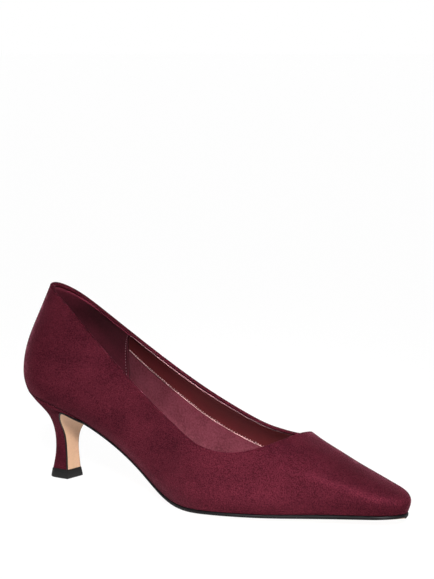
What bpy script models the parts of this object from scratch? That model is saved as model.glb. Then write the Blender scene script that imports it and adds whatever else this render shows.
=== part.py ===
"""Court shoe for the right foot: pointed toe, low-cut collar and a slim flared heel.

The frame has +X to the toe, +Y to the inner side of the foot and +Z up. The floor is at z = 0, and the
origin lies on it under the middle of the shoe. All sizes below are millimetres, measured from the back
of the heel, and are turned to metres when a mesh is made.
"""
import bpy
import bmesh
import numpy as np

MM = 0.001

# Driving sizes
LENGTH = 250.0            # back of the heel to the tip of the toe
HEEL_ROUND = 29.2         # how far the round of the heel reaches forward
HEEL_POWER = 2.2          # squareness of that round
TOE_ROUND = 16.0          # how far the round of the toe tip reaches back
TOE_POWER = 2.6           # bluntness of the toe tip
UPPER_WALL = 1.8          # suede, backing and lining together
GAP = 0.3                 # clearance between neighbouring pieces
INSOLE_THICK = 3.0
INSOLE_CLEAR = 0.7        # room left beside the insole for the lean of the wall
SOLE_REVEAL = 0.4         # how far the sole edge stands out past the upper
FLAP_THICK = 1.0          # sole leather where it turns down the heel breast
TOP_PIECE_HEIGHT = 5.3
COLLAR_ROUND = 20.0       # how far the round at the back of the collar reaches forward
COLLAR_SOFT = 4.0         # spread of the smoothing along the collar, in its own steps
THROAT_START = 141.0      # where the collar leaves the side and runs to the throat
THROAT_HEIGHT = 38.6      # height of the collar there
THROAT_END = 182.8        # front of the throat on the centre line
THROAT_PLAN = (3.5, 2.3)  # powers of the throat's rounded plan, along and across
THROAT_EASE = 0.6         # how far the ribs are eased apart where they enter the throat
DOME_RUN = 35.0           # length before the throat over which the walls turn into the arch of the vamp
DOME_PAST = 10.0          # length after its start over which they finish turning
WALL_LEAN = 0.5           # least lean of a wall from its widest line to the collar
WALL_DRAW = 0.5           # how much straighter than an arc the wall leans in at the back
DRAW_RUN = 16.0           # how far round from the back that reaches
ARCH_SPAN = 0.98          # widest share of the arch that a rib may start from
END_CROWDING = 0.4        # how much closer the ribs stand at the heel and the toe tip
CUP_SHARE = 0.26          # share of the wall's height that the heel cup covers at the back
CUP_RUN = 38.0            # how far the cup's rise reaches forward
CUP_RIM = 2.2             # breadth of the cup's rim inside the featherline
SIDES = {"lateral": -1, "medial": 1}

# The last, a row for each section from heel to toe: place along the shoe, height of the featherline, outer
# and inner half breadth at the widest line, sideways place of the middle, height of the widest line over
# the featherline, how far that line swells past the featherline, rise of the ridge over it, thickness of
# the sole edge and its crown
LAST_COLUMNS = ("along", "feather", "lateral", "medial", "centre", "wall", "swell", "ridge", "sole", "crown")
LAST_ROWS = (
    (0.0, 49.6, 29.0, 29.0, 0.0, 14.6, 4.6, 56.0, 1.0, 0.4),
    (36.0, 45.4, 29.3, 28.4, 0.0, 13.9, 4.1, 56.0, 1.0, 0.4),
    (75.0, 28.8, 28.6, 26.4, 0.1, 13.6, 5.3, 56.0, 0.8, 0.5),
    (95.0, 17.4, 31.0, 27.7, 0.2, 12.8, 5.2, 56.0, 1.0, 0.8),
    (115.0, 6.4, 35.4, 31.4, 0.0, 12.6, 4.4, 56.0, 1.4, 1.4),
    (150.0, 3.8, 42.0, 39.0, -0.4, 11.6, 2.7, 47.4, 1.5, 2.8),
    (185.0, 4.3, 33.4, 33.6, 1.9, 8.4, 2.5, 29.7, 1.5, 2.7),
    (200.0, 5.2, 27.5, 29.4, 2.3, 8.0, 2.2, 22.5, 1.7, 2.4),
    (215.0, 6.1, 21.8, 24.6, 2.3, 7.8, 1.9, 15.3, 1.8, 2.0),
    (250.0, 7.5, 10.8, 10.5, 2.2, 5.8, 1.6, 4.4, 1.2, 0.6),
)

# The collar from its back to the throat: place along the shoe, then height and half breadth on either side
COLLAR_COLUMNS = ("along", "lateral", "medial", "lateral_half", "medial_half")
COLLAR_ROWS = (
    (12.7, 114.0, 114.0, 11.3, 11.3),
    (30.0, 105.9, 104.9, 13.4, 11.4),
    (50.0, 93.2, 91.0, 18.4, 15.9),
    (75.0, 75.3, 74.1, 22.9, 21.1),
    (108.0, 54.0, 54.4, 28.7, 26.7),
)

# The heel, a row for each level below the seat down to the top piece: front and back of the section, their
# heights, half breadth, squareness of the round back, and how much of the seat's own outline it keeps
HEEL_COLUMNS = ("front", "front_height", "back", "back_height", "half", "power", "seat")
HEEL_ROWS = (
    (43.8, 42.0, 8.2, 48.5, 24.3, 2.2, 1.0),
    (35.0, 42.5, 10.6, 44.5, 21.8, 2.34, 0.77),
    (30.2, 37.9, 12.15, 40.9, 17.2, 2.16, 0.44),
    (27.4, 33.2, 15.25, 35.6, 12.3, 2.5, 0.0),
    (25.9, 28.9, 16.15, 29.7, 8.6, 2.8, 0.0),
    (25.3, 22.6, 16.5, 22.8, 6.2, 3.2, 0.0),
    (25.6, 14.0, 16.2, 14.0, 5.7, 3.6, 0.0),
    (26.2, 5.8, 14.7, 5.8, 6.2, 4.0, 0.0),
)
SEAT_FRONT = 51.0         # front of the heel's thin lip, where the sole meets the upper
SEAT_POWER = 2.2          # squareness of the seat's round back
LIP_RUN = 2.5             # length over which the sole steps from the upper to the lip
HEEL_LEVELS = 26          # sections down the heel
RING_POINTS = 33          # points round the back of one heel section
FLAP_DRAW = 4             # how soon the flap draws in from the sole's breadth to the heel's

# The top piece: front, back, half breadth and squareness at its upper face and on the floor
TOP_PIECE_COLUMNS = ("height", "front", "back", "half", "power")
TOP_PIECE_ROWS = (
    (TOP_PIECE_HEIGHT, 27.5, 14.6, 6.6, 5.0),
    (0.8, 28.2, 13.9, 7.1, 5.0),
    (0.0, 27.9, 14.2, 6.8, 5.0),
)

TIP_MARGIN = 0.25         # flat left at the very tip of a plank's outline
SOLE_RINGS = 46           # sections of the sole from toe to heel lip
INSOLE_RINGS = 44         # sections of the insole
COLLAR_POINTS = 241       # points along one side of the collar before ribs are read from it
RIBS = 42                 # sections of the upper from back to toe, on each side
WALL_STEPS = 4            # rows from featherline to widest line
DOME_STEPS = 9            # rows from widest line to collar
ACROSS = np.array((-1.0, -0.9, -0.7, -0.45, -0.2, 0.0, 0.2, 0.45, 0.7, 0.9, 1.0))
FINE_SAMPLES = 1500       # points that measure the widest line
LINE_SAMPLES = 400        # points that measure any other line
SHARP_ANGLE = 40.0        # faces that meet at more than this stay crisp, in degrees
TINY = 1e-6

# Finishes: colour in linear light, then roughness
FINISHES = {
    "burgundy_suede": ((0.105, 0.013, 0.024), 0.9),
    "mauve_sock": ((0.170, 0.039, 0.068), 0.7),
    "tan_sole_leather": ((0.552, 0.323, 0.188), 0.5),
    "suede_heel_cover": ((0.105, 0.013, 0.024), 0.9),
    "black_rubber": ((0.012, 0.012, 0.014), 0.5),
}


def curve(xs, ys):
    """Natural cubic spline through two columns of a table."""
    xs = np.asarray(xs, float)
    ys = np.asarray(ys, float)
    count = len(xs)
    step = np.diff(xs)
    slope = np.diff(ys) / step
    rows = np.eye(count)
    right = np.zeros(count)
    for i in range(1, count - 1):
        rows[i, i - 1:i + 2] = step[i - 1], 2 * (step[i - 1] + step[i]), step[i]
        right[i] = 6 * (slope[i] - slope[i - 1])
    bend = np.linalg.solve(rows, right)

    def at(x):
        x = np.clip(x, xs[0], xs[-1])
        i = np.clip(np.searchsorted(xs, x) - 1, 0, count - 2)
        after = xs[i + 1] - x
        before = x - xs[i]
        cubic = (bend[i] * after ** 3 + bend[i + 1] * before ** 3) / (6 * step[i])
        start = (ys[i] / step[i] - bend[i] * step[i] / 6) * after
        end = (ys[i + 1] / step[i] - bend[i + 1] * step[i] / 6) * before
        return cubic + start + end
    return at


def columns(names, rows):
    """A table's columns by name."""
    return dict(zip(names, np.array(rows, float).T))


last = columns(LAST_COLUMNS, LAST_ROWS)
collar = columns(COLLAR_COLUMNS, COLLAR_ROWS)
section = {name: curve(last["along"], last[name]) for name in LAST_COLUMNS[1:]}


def closing(reach, extent, power):
    """Rounds an end off: 0 at the tip, 1 from the given extent on."""
    return 1 - (1 - np.clip(reach / extent, 0, 1)) ** power


def half_breadth(x, side):
    heel = closing(x, HEEL_ROUND, HEEL_POWER) ** (1 / HEEL_POWER)
    toe = np.sqrt(closing(LENGTH - x, TOE_ROUND, TOE_POWER))
    return section[side](x) * heel * toe


def widest_height(x):
    return section["feather"](x) + section["wall"](x)


def arch_share(x, y, side):
    """How far out a place lies on its section: 0 on the middle, 1 at the widest line."""
    return np.clip(np.abs(y - section["centre"](x)) / np.maximum(half_breadth(x, side), TINY), 0, 1)


def dome_height(x, y, side):
    """Height of the vamp over a place in plan: an arch of the section's breadth and ridge."""
    ridge = section["ridge"](x) * np.sqrt(closing(LENGTH - x, TOE_ROUND, TOE_POWER))
    across = arch_share(x, y, side)
    return widest_height(x) + ridge * np.sqrt(1 - across ** 2)


def running_length(*axes):
    return np.append(0.0, np.cumsum(np.sqrt(sum(np.diff(axis) ** 2 for axis in axes))))


def widest_line(side, count):
    """Points of the widest line from back to toe, with the outward normal in plan.

    Also the length run at each point, and the length run where the throat starts.
    """
    sign = SIDES[side]
    x = LENGTH * (1 - np.cos(np.linspace(0, np.pi, FINE_SAMPLES))) / 2
    y = section["centre"](x) + sign * half_breadth(x, side)
    run = running_length(x, y)
    turn = np.linspace(0, 2 * np.pi, count)
    stops = run[-1] * (turn - END_CROWDING * np.sin(turn)) / (2 * np.pi)
    along_x = np.interp(stops, run, np.gradient(x, run))
    along_y = np.interp(stops, run, np.gradient(y, run))
    normal = np.stack([-sign * along_y, sign * along_x], 1)
    normal /= np.linalg.norm(normal, axis=1)[:, None]
    normal[0] = -1, 0
    normal[-1] = 1, 0
    throat = np.interp(THROAT_START, x, run)
    return np.interp(stops, run, x), np.interp(stops, run, y), normal, stops, throat


def throat_share():
    """Share of the half breadth at which the collar meets the throat, on the vamp's arch."""
    rise = (THROAT_HEIGHT - widest_height(THROAT_START)) / section["ridge"](THROAT_START)
    return np.sqrt(1 - rise ** 2)


def collar_back(side, shares):
    """Points of the collar at given shares of the way from the back of the heel to the throat."""
    along = np.append(collar["along"], THROAT_START)
    height = curve(along, np.append(collar[side], THROAT_HEIGHT))
    half = curve(along, np.append(collar[side + "_half"], throat_share() * half_breadth(THROAT_START, side)))
    x = THROAT_START - (THROAT_START - along[0]) * np.cos(np.linspace(0, np.pi / 2, LINE_SAMPLES))
    round_off = np.sqrt(closing(x - along[0], COLLAR_ROUND, 2))
    y = section["centre"](x) + SIDES[side] * half(x) * round_off
    run = running_length(x, y, height(x))
    return np.stack([np.interp(shares * run[-1], run, axis) for axis in (x, y, height(x))], 1)


def collar_throat(side, shares, ribs_run):
    """Points of the rounded throat on the vamp, at shares of the run of the ribs that end there."""
    turn = np.linspace(0, np.pi / 2, LINE_SAMPLES)
    x = THROAT_START + (THROAT_END - THROAT_START) * np.sin(turn) ** (2 / THROAT_PLAN[0])
    across = throat_share() * np.cos(turn) ** (2 / THROAT_PLAN[1])
    y = section["centre"](x) + SIDES[side] * across * half_breadth(x, side)
    z = dome_height(x, y, side)
    run = running_length(x, y, z)
    ease = THROAT_EASE * (ribs_run / run[-1] - 1)
    stops = (shares + ease * shares * (1 - shares) ** 2) * run[-1]
    return np.stack([np.interp(stops, run, axis) for axis in (x, y, z)], 1)


def collar_loop():
    """The whole collar, smoothed as one loop: its points from back to throat for each side."""
    rough = {}
    for side in SIDES:
        _, _, _, stops, throat = widest_line(side, COLLAR_POINTS)
        back = collar_back(side, stops[stops < throat] / throat)
        ahead = stops[-1] - throat
        front = collar_throat(side, (stops[stops >= throat] - throat) / ahead, ahead)
        rough[side] = np.concatenate([back, front])
    loop = np.concatenate([rough["lateral"], rough["medial"][-2:0:-1]])
    reach = int(4 * COLLAR_SOFT)
    steps = np.arange(-reach, reach + 1)
    weights = np.exp(-0.5 * (steps / COLLAR_SOFT) ** 2)
    shares = weights / weights.sum()
    soft = sum(share * np.roll(loop, -step, axis=0) for share, step in zip(shares, steps))
    medial = np.concatenate([soft[:1], soft[:COLLAR_POINTS - 2:-1]])
    return {"lateral": soft[:COLLAR_POINTS], "medial": medial}


def featherline(side, count, inset=0.0):
    """Lower edge of the upper in plan, drawn in by an inset."""
    x, y, normal, _, _ = widest_line(side, count)
    inward = section["swell"](x) + inset
    return x - normal[:, 0] * inward, y - normal[:, 1] * inward


def cup_share(x):
    """Share of the wall's height that the heel cup covers: most at the back, none past its run."""
    return CUP_SHARE * np.clip(1 - x / CUP_RUN, 0, 1)


def low_wall(side, count, above):
    """Points on the wall between the upper's lower edge and the widest line, at a share of the way up."""
    x, y, _, _, _ = widest_line(side, count)
    foot_x, foot_y = featherline(side, count)
    foot_z = section["feather"](foot_x)
    share = cup_share(x) + (1 - cup_share(x)) * above
    out = 1 - (1 - share) ** 2
    rise = (widest_height(x) - foot_z) * share
    return np.stack([foot_x + (x - foot_x) * out, foot_y + (y - foot_y) * out, foot_z + rise], 1)


def upper_rows(side, count, wall_steps, dome_steps):
    """Outer surface of one side of the upper: rows from featherline to collar, a column for each rib.

    A rib rises from the upper's lower edge to the widest line, then leans in to the collar. Beside the
    foot it is a plain wall, and towards the toe it turns into the arch of the vamp.
    """
    x, y, _, _, _ = widest_line(side, count)
    z = widest_height(x)
    steps = np.linspace(0, COLLAR_POINTS - 1, count)
    heads = collar_loop()[side].T
    head_x, head_y, head_z = [np.interp(steps, np.arange(COLLAR_POINTS), axis) for axis in heads]
    on_dome = np.clip((x - THROAT_START + DOME_RUN) / (DOME_RUN + DOME_PAST), 0, 1)
    on_dome = on_dome * on_dome * (3 - 2 * on_dome)
    lean = np.maximum(np.hypot(head_x - x, head_y - y), WALL_LEAN)
    slimness = section["ridge"](THROAT_START) / half_breadth(THROAT_START, side)
    wall_turn = 2 * np.arctan(lean / (head_z - z) * slimness)
    dome_turn = np.arccos(np.minimum(arch_share(head_x, head_y, side), ARCH_SPAN))
    full_turn = wall_turn + (dome_turn - wall_turn) * on_dome
    draw = WALL_DRAW * np.clip(1 - x / DRAW_RUN, 0, 1)
    to_collar = (head_z - z) / np.maximum(dome_height(head_x, head_y, side) - z, TINY)
    rows = [low_wall(side, count, above) for above in np.linspace(0, 1, wall_steps, endpoint=False)]
    for v in np.linspace(0, 1, dome_steps):
        turn = v * full_turn
        inward = (1 - np.cos(turn)) / (1 - np.cos(full_turn)) + draw * v * v * (1 - v)
        rib_x = x + (head_x - x) * inward
        rib_y = y + (head_y - y) * inward
        wall_rise = (head_z - z) * np.sin(turn) / np.sin(full_turn)
        vamp_rise = (dome_height(rib_x, rib_y, side) - z) * to_collar
        rows.append(np.stack([rib_x, rib_y, z + wall_rise + (vamp_rise - wall_rise) * on_dome], 1))
    return np.array(rows)


def read_along(x, values):
    """A line's values as a function of the place along the shoe."""
    order = np.argsort(x)

    def at(place):
        return np.interp(place, x[order], values[order])
    return at


def edge_of(side, inset=0.0):
    """Sideways place of the inset featherline along the shoe, with its two ends."""
    x, y = featherline(side, LINE_SAMPLES, inset)
    return read_along(x, y), x.min(), x.max()


def seat_edge(side):
    """Lower edge of the upper along the shoe: its sideways place, its height and its back end."""
    x, y, z = low_wall(side, LINE_SAMPLES, 0.0).T
    return read_along(x, y), read_along(x, z), x.min()


def finished(name):
    """Principled material with one colour and roughness."""
    colour, roughness = FINISHES[name]
    material = bpy.data.materials.new(name)
    material.use_nodes = True
    shader = material.node_tree.nodes["Principled BSDF"]
    shader.inputs["Base Color"].default_value = (*colour, 1.0)
    shader.inputs["Roughness"].default_value = roughness
    shader.inputs["Metallic"].default_value = 0.0
    return material


def to_object(name, bm, finish, frame):
    """Turns a bmesh in millimetres into a smooth-shaded object under the shoe's frame."""
    bmesh.ops.recalc_face_normals(bm, faces=bm.faces[:])
    bmesh.ops.scale(bm, vec=(MM, MM, MM), verts=bm.verts[:])
    mesh = bpy.data.meshes.new(name)
    bm.to_mesh(mesh)
    bm.free()
    mesh.shade_smooth()
    mesh.set_sharp_from_angle(angle=np.radians(SHARP_ANGLE))
    mesh.materials.append(finished(finish))
    obj = bpy.data.objects.new(name, mesh)
    bpy.context.scene.collection.objects.link(obj)
    obj.parent = frame
    return obj


def loft(name, rings, finish, frame):
    """Closed body through rings of equal count; each end is closed straight across from point to point."""
    bm = bmesh.new()
    verts = [[bm.verts.new(point) for point in ring] for ring in rings]
    count = len(rings[0])
    for one, two in zip(verts, verts[1:]):
        for i in range(count):
            j = (i + 1) % count
            bm.faces.new((one[i], one[j], two[j], two[i]))
    for ring in (verts[0], verts[-1]):
        for i in range((count - 1) // 2):
            corners = (ring[i], ring[i + 1], ring[count - 2 - i], ring[count - 1 - i])
            bm.faces.new(tuple(dict.fromkeys(corners)))
    return to_object(name, bm, finish, frame)


def make_upper(frame):
    """Wall of suede and lining, open at the collar and underneath."""
    near = upper_rows("lateral", RIBS, WALL_STEPS, DOME_STEPS)
    far = upper_rows("medial", RIBS, WALL_STEPS, DOME_STEPS)
    grid = np.concatenate([near, far[:, -2:0:-1]], axis=1)
    bm = bmesh.new()
    verts = [[bm.verts.new(point) for point in row] for row in grid]
    count = grid.shape[1]
    for low, high in zip(verts, verts[1:]):
        for i in range(count):
            j = (i + 1) % count
            bm.faces.new((low[i], low[j], high[j], high[i]))
    shell = to_object("upper", bm, "burgundy_suede", frame)
    wall = shell.modifiers.new("wall", "SOLIDIFY")
    wall.thickness = UPPER_WALL * MM
    wall.offset = -1.0
    wall.use_even_offset = True


def plank_ring(place, left, right, top, bottom):
    """Ring across a flat piece: along its underside from left to right, then back along its top."""
    y = left + (right - left) * (ACROSS + 1) / 2
    under = np.stack([np.full_like(y, place), y, bottom(ACROSS)], 1)
    over = np.stack([np.full_like(y, place), y, np.full_like(y, top)], 1)
    return np.concatenate([under, over[::-1]])


def make_insole(frame):
    """A board on the last's own bottom, its edge leaning out with the wall around it."""
    low_inset = UPPER_WALL + INSOLE_CLEAR
    lateral, start, end = edge_of("lateral", low_inset)
    medial = edge_of("medial", low_inset)[0]
    middle = (start + end) / 2
    reach = (end - start) / 2 - TIP_MARGIN
    rings = []
    for place in middle - reach * np.cos(np.linspace(0, np.pi, INSOLE_RINGS)):
        base = float(section["feather"](place))
        lift = INSOLE_THICK / section["wall"](place)
        flare = section["swell"](place) * (1 - (1 - lift) ** 2)
        ring = plank_ring(place, lateral(place), medial(place), base + INSOLE_THICK,
                          lambda across: np.full_like(across, base))
        ring[len(ACROSS):, 1] += ACROSS[::-1] * flare
        rings.append(ring)
    loft("insole", rings, "mauve_sock", frame)


def round_back(front, back, half, power):
    """Half superellipse in plan, from the near front corner round the back to the far one."""
    turn = np.linspace(-np.pi / 2, np.pi / 2, RING_POINTS)
    x = front - (front - back) * np.abs(np.cos(turn)) ** (2 / power)
    y = half * np.sign(np.sin(turn)) * np.abs(np.sin(turn)) ** (2 / power)
    x[[0, -1]] = front
    y[RING_POINTS // 2] = 0.0
    return x, y


def heel_levels():
    """The heel's table with the seat as its first row, read at even steps down the breast line."""
    edge, height, back = seat_edge("lateral")
    half = -edge(SEAT_FRONT)
    seat = (SEAT_FRONT, height(SEAT_FRONT) - GAP, back, height(back) - GAP, half, SEAT_POWER, 1.0)
    table = columns(HEEL_COLUMNS, (seat,) + HEEL_ROWS)
    run = running_length(table["front"], table["front_height"])
    stops = np.linspace(0, run[-1], HEEL_LEVELS)
    return {name: curve(run, table[name])(stops) for name in HEEL_COLUMNS}


def cup_floor():
    """Ring inside the rim of the heel cup, at the height of the last's bottom."""
    lateral, back, _ = edge_of("lateral", CUP_RIM)
    medial = edge_of("medial", CUP_RIM)[0]
    x, y = round_back(SEAT_FRONT, back, 1.0, SEAT_POWER)
    floor_y = np.where(y < 0, lateral(x), medial(x))
    floor_y[RING_POINTS // 2] = 0.0
    return np.stack([x, floor_y, section["feather"](x) - GAP], 1)


def make_heel(frame):
    """Cup round the heel seat, drawn in to a slim neck and flared to its foot."""
    lateral, seat_height, seat_back = seat_edge("lateral")
    medial = seat_edge("medial")[0]
    seat_z = seat_height(np.linspace(SEAT_FRONT, seat_back, LINE_SAMPLES))
    seat_rise = (seat_z - seat_z[0]) / (seat_z[-1] - seat_z[0])
    levels = heel_levels()
    rings = [cup_floor()]
    for i in range(HEEL_LEVELS):
        level = {name: values[i] for name, values in levels.items()}
        x, y = round_back(level["front"], level["back"], level["half"], level["power"])
        back_share = (level["front"] - x) / (level["front"] - level["back"])
        rise = np.interp(back_share, np.linspace(0, 1, LINE_SAMPLES), seat_rise)
        rise = back_share + (rise - back_share) * level["seat"]
        z = level["front_height"] + (level["back_height"] - level["front_height"]) * rise
        place = level["front"] - (level["front"] - seat_back) * back_share
        narrowed = level["half"] / -lateral(level["front"])
        seat_y = np.where(y < 0, lateral(place), medial(place)) * narrowed
        seat_y[RING_POINTS // 2] = 0.0
        rings.append(np.stack([x, y + (seat_y - y) * level["seat"], z], 1))
    loft("heel", rings, "suede_heel_cover", frame)


def make_outsole(frame):
    """Thin sole from toe to heel, turned down the heel breast to the top piece in one piece."""
    lateral, _, tip = edge_of("lateral", -SOLE_REVEAL)
    medial = edge_of("medial", -SOLE_REVEAL)[0]
    start = SEAT_FRONT + LIP_RUN
    rings = []
    for place in start + (tip - TIP_MARGIN - start) * np.sin(np.linspace(np.pi / 2, 0.0, SOLE_RINGS)):
        top = float(section["feather"](place)) - GAP
        edge = float(section["sole"](place))
        crown = float(section["crown"](place))
        ring = plank_ring(place, lateral(place), medial(place), top,
                          lambda across: np.maximum(top - edge - crown * (1 - across ** 2), 0.0))
        rings.append(ring)
    rings.extend(flap_rings(-lateral(SEAT_FRONT), medial(SEAT_FRONT)))
    loft("outsole", rings, "tan_sole_leather", frame)


def flap_rings(near_start, far_start):
    """Rings of the flap down the heel breast, square to its line and a gap off the heel."""
    levels = heel_levels()
    line = np.stack([levels["front"], levels["front_height"]], 1)
    along = np.gradient(line, axis=0)
    along /= np.linalg.norm(along, axis=1)[:, None]
    outward = np.stack([-along[:, 1], along[:, 0]], 1)
    narrowing = np.linspace(1, 0, HEEL_LEVELS) ** FLAP_DRAW
    rings = []
    for i in range(HEEL_LEVELS):
        near = levels["half"][i] + (near_start - levels["half"][0]) * narrowing[i]
        far = levels["half"][i] + (far_start - levels["half"][0]) * narrowing[i]
        inner = line[i] + outward[i] * GAP
        outer = inner + outward[i] * FLAP_THICK
        ring = plank_ring(0.0, -near, far, inner[1], lambda across: np.full_like(across, outer[1]))
        ring[:len(ACROSS), 0] = outer[0]
        ring[len(ACROSS):, 0] = inner[0]
        rings.append(ring)
    return rings


def make_top_piece(frame):
    """Small flared block that the heel stands on."""
    rings = []
    for row in TOP_PIECE_ROWS:
        level = dict(zip(TOP_PIECE_COLUMNS, row))
        x, y = round_back(level["front"], level["back"], level["half"], level["power"])
        rings.append(np.stack([x, y, np.full_like(x, level["height"])], 1))
    loft("top_piece", rings, "black_rubber", frame)


def main():
    for obj in list(bpy.data.objects):
        bpy.data.objects.remove(obj)
    edges = np.concatenate([widest_line(side, RIBS)[1] for side in SIDES])
    frame = bpy.data.objects.new("shoe_frame", None)
    frame.location = (-LENGTH / 2 * MM, -(edges.min() + edges.max()) / 2 * MM, 0.0)
    bpy.context.scene.collection.objects.link(frame)
    make_upper(frame)
    make_insole(frame)
    make_outsole(frame)
    make_heel(frame)
    make_top_piece(frame)


main()
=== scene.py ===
# %% [markdown]
# # A court shoe in burgundy suede
# The solids of this shoe are fixed already: their sizes, their places and how they stand on the floor.
# This lesson dresses them. Each solid is replaced by a finer piece of the same form, and the linings,
# seams and stitches that a maker adds go on top. All lengths are millimetres, measured from the back of
# the heel, until a mesh is made.

# %% Load the solids
import bmesh
import bpy
import numpy as np
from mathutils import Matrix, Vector


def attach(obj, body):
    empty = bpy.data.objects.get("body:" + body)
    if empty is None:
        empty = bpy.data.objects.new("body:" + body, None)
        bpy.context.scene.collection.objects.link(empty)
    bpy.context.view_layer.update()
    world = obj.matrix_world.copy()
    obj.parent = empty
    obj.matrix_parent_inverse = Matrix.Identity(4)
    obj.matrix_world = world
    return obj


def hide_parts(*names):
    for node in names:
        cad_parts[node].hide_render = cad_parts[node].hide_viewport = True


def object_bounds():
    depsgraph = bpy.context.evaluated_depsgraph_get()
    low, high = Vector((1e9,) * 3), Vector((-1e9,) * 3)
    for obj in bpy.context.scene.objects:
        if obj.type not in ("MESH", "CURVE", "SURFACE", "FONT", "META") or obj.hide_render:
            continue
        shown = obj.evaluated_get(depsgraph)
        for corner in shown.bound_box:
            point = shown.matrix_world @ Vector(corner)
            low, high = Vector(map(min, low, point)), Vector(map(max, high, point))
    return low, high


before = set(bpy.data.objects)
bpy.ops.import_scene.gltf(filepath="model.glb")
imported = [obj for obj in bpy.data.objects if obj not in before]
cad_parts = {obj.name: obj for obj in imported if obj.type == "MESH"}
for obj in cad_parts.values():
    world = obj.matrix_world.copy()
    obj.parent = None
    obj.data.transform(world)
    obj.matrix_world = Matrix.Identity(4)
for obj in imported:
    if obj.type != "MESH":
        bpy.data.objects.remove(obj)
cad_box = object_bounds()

MM = 0.001
print("solids:", sorted(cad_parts), "box in mm:", [round(v / MM, 1) for v in cad_box[1] - cad_box[0]])

# %% [markdown]
# ## The camera
# The photograph was taken with a long lens, from the outer side of the shoe and a little to its front.
# The camera comes first, because every later piece is compared with the photograph through it. The shoe
# sits low in the picture. The camera is turned up to put it there, so no lens shift is needed.

# %% Camera
IMAGE_SIZE = (434, 579)
CAMERA_AZIMUTH = 35.24         # degrees round from the shoe's outer side towards the toe
CAMERA_ELEVATION = 10.74       # degrees above the floor
CAMERA_DISTANCE = 1159.5
FOCAL_PIXELS = 2087.6
SENSOR_WIDTH = 36.0
TARGET = Vector((0.0, 1.8, 45.0))
TARGET_PIXEL = (210.7, 419.1)  # where the target shows in the picture


def place_camera():
    azimuth, elevation = np.radians([CAMERA_AZIMUTH, CAMERA_ELEVATION])
    level = np.cos(elevation)
    back = Vector((np.sin(azimuth) * level, -np.cos(azimuth) * level, np.sin(elevation)))
    right = Vector((np.cos(azimuth), np.sin(azimuth), 0.0))
    up = back.cross(right)
    aside = (IMAGE_SIZE[0] / 2 - TARGET_PIXEL[0]) / FOCAL_PIXELS
    above = (TARGET_PIXEL[1] - IMAGE_SIZE[1] / 2) / FOCAL_PIXELS
    forward = right * aside + up * above - back
    lens = bpy.data.cameras.new("camera")
    lens.sensor_width = SENSOR_WIDTH
    lens.lens = SENSOR_WIDTH * FOCAL_PIXELS / max(IMAGE_SIZE)
    lens.clip_end = 20.0
    camera = bpy.data.objects.new("camera", lens)
    camera.location = (TARGET + back * CAMERA_DISTANCE) * MM
    camera.rotation_mode = "QUATERNION"
    camera.rotation_quaternion = forward.to_track_quat("-Z", "Y")
    bpy.context.scene.collection.objects.link(camera)
    bpy.context.scene.camera = camera
    return camera


camera = place_camera()
print("camera at", [round(v, 3) for v in camera.location], "lens", round(camera.data.lens, 1))

# %% [markdown]
# ## The last
# A shoe is pulled over a last, a wooden foot, and takes its form. The last is a short table, with a row
# for each section from heel to toe. Smooth curves through its columns give a size at any place. These
# are the rows that the solids were made from, so the finer pieces fit them exactly.

# %% Tables of the last, the collar and the heel
LENGTH = 250.0
HEEL_ROUND, HEEL_POWER = 29.2, 2.2        # round of the heel in plan: reach and squareness
TOE_ROUND, TOE_POWER = 16.0, 2.6          # round of the toe tip: reach and bluntness
SIDES = {"lateral": -1, "medial": 1}
LAST_COLUMNS = ("along", "feather", "lateral", "medial", "centre", "wall", "swell", "ridge", "sole", "crown")
LAST_ROWS = (
    (0.0, 49.6, 29.0, 29.0, 0.0, 14.6, 4.6, 56.0, 1.0, 0.4),
    (36.0, 45.4, 29.3, 28.4, 0.0, 13.9, 4.1, 56.0, 1.0, 0.4),
    (75.0, 28.8, 28.6, 26.4, 0.1, 13.6, 5.3, 56.0, 0.8, 0.5),
    (95.0, 17.4, 31.0, 27.7, 0.2, 12.8, 5.2, 56.0, 1.0, 0.8),
    (115.0, 6.4, 35.4, 31.4, 0.0, 12.6, 4.4, 56.0, 1.4, 1.4),
    (150.0, 3.8, 42.0, 39.0, -0.4, 11.6, 2.7, 47.4, 1.5, 2.8),
    (185.0, 4.3, 33.4, 33.6, 1.9, 8.4, 2.5, 29.7, 1.5, 2.7),
    (200.0, 5.2, 27.5, 29.4, 2.3, 8.0, 2.2, 22.5, 1.7, 2.4),
    (215.0, 6.1, 21.8, 24.6, 2.3, 7.8, 1.9, 15.3, 1.8, 2.0),
    (250.0, 7.5, 10.8, 10.5, 2.2, 5.8, 1.6, 4.4, 1.2, 0.6),
)
COLLAR_COLUMNS = ("along", "lateral", "medial", "lateral_half", "medial_half")
COLLAR_ROWS = (
    (12.7, 114.0, 114.0, 11.3, 11.3),
    (30.0, 105.9, 104.9, 13.4, 11.4),
    (50.0, 93.2, 91.0, 18.4, 15.9),
    (75.0, 75.3, 74.1, 22.9, 21.1),
    (108.0, 54.0, 54.4, 28.7, 26.7),
)
HEEL_COLUMNS = ("front", "front_height", "back", "back_height", "half", "power", "seat")
HEEL_ROWS = (
    (43.8, 42.0, 8.2, 48.5, 24.3, 2.2, 1.0),
    (35.0, 42.5, 10.6, 44.5, 21.8, 2.34, 0.77),
    (30.2, 37.9, 12.15, 40.9, 17.2, 2.16, 0.44),
    (27.4, 33.2, 15.25, 35.6, 12.3, 2.5, 0.0),
    (25.9, 28.9, 16.15, 29.7, 8.6, 2.8, 0.0),
    (25.3, 22.6, 16.5, 22.8, 6.2, 3.2, 0.0),
    (25.6, 14.0, 16.2, 14.0, 5.7, 3.6, 0.0),
    (26.2, 5.8, 14.7, 5.8, 6.2, 4.0, 0.0),
)
TINY = 1e-6
FINE_SAMPLES = 1500                       # points that measure the widest line
LINE_SAMPLES = 400                        # points that measure any other line


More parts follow.
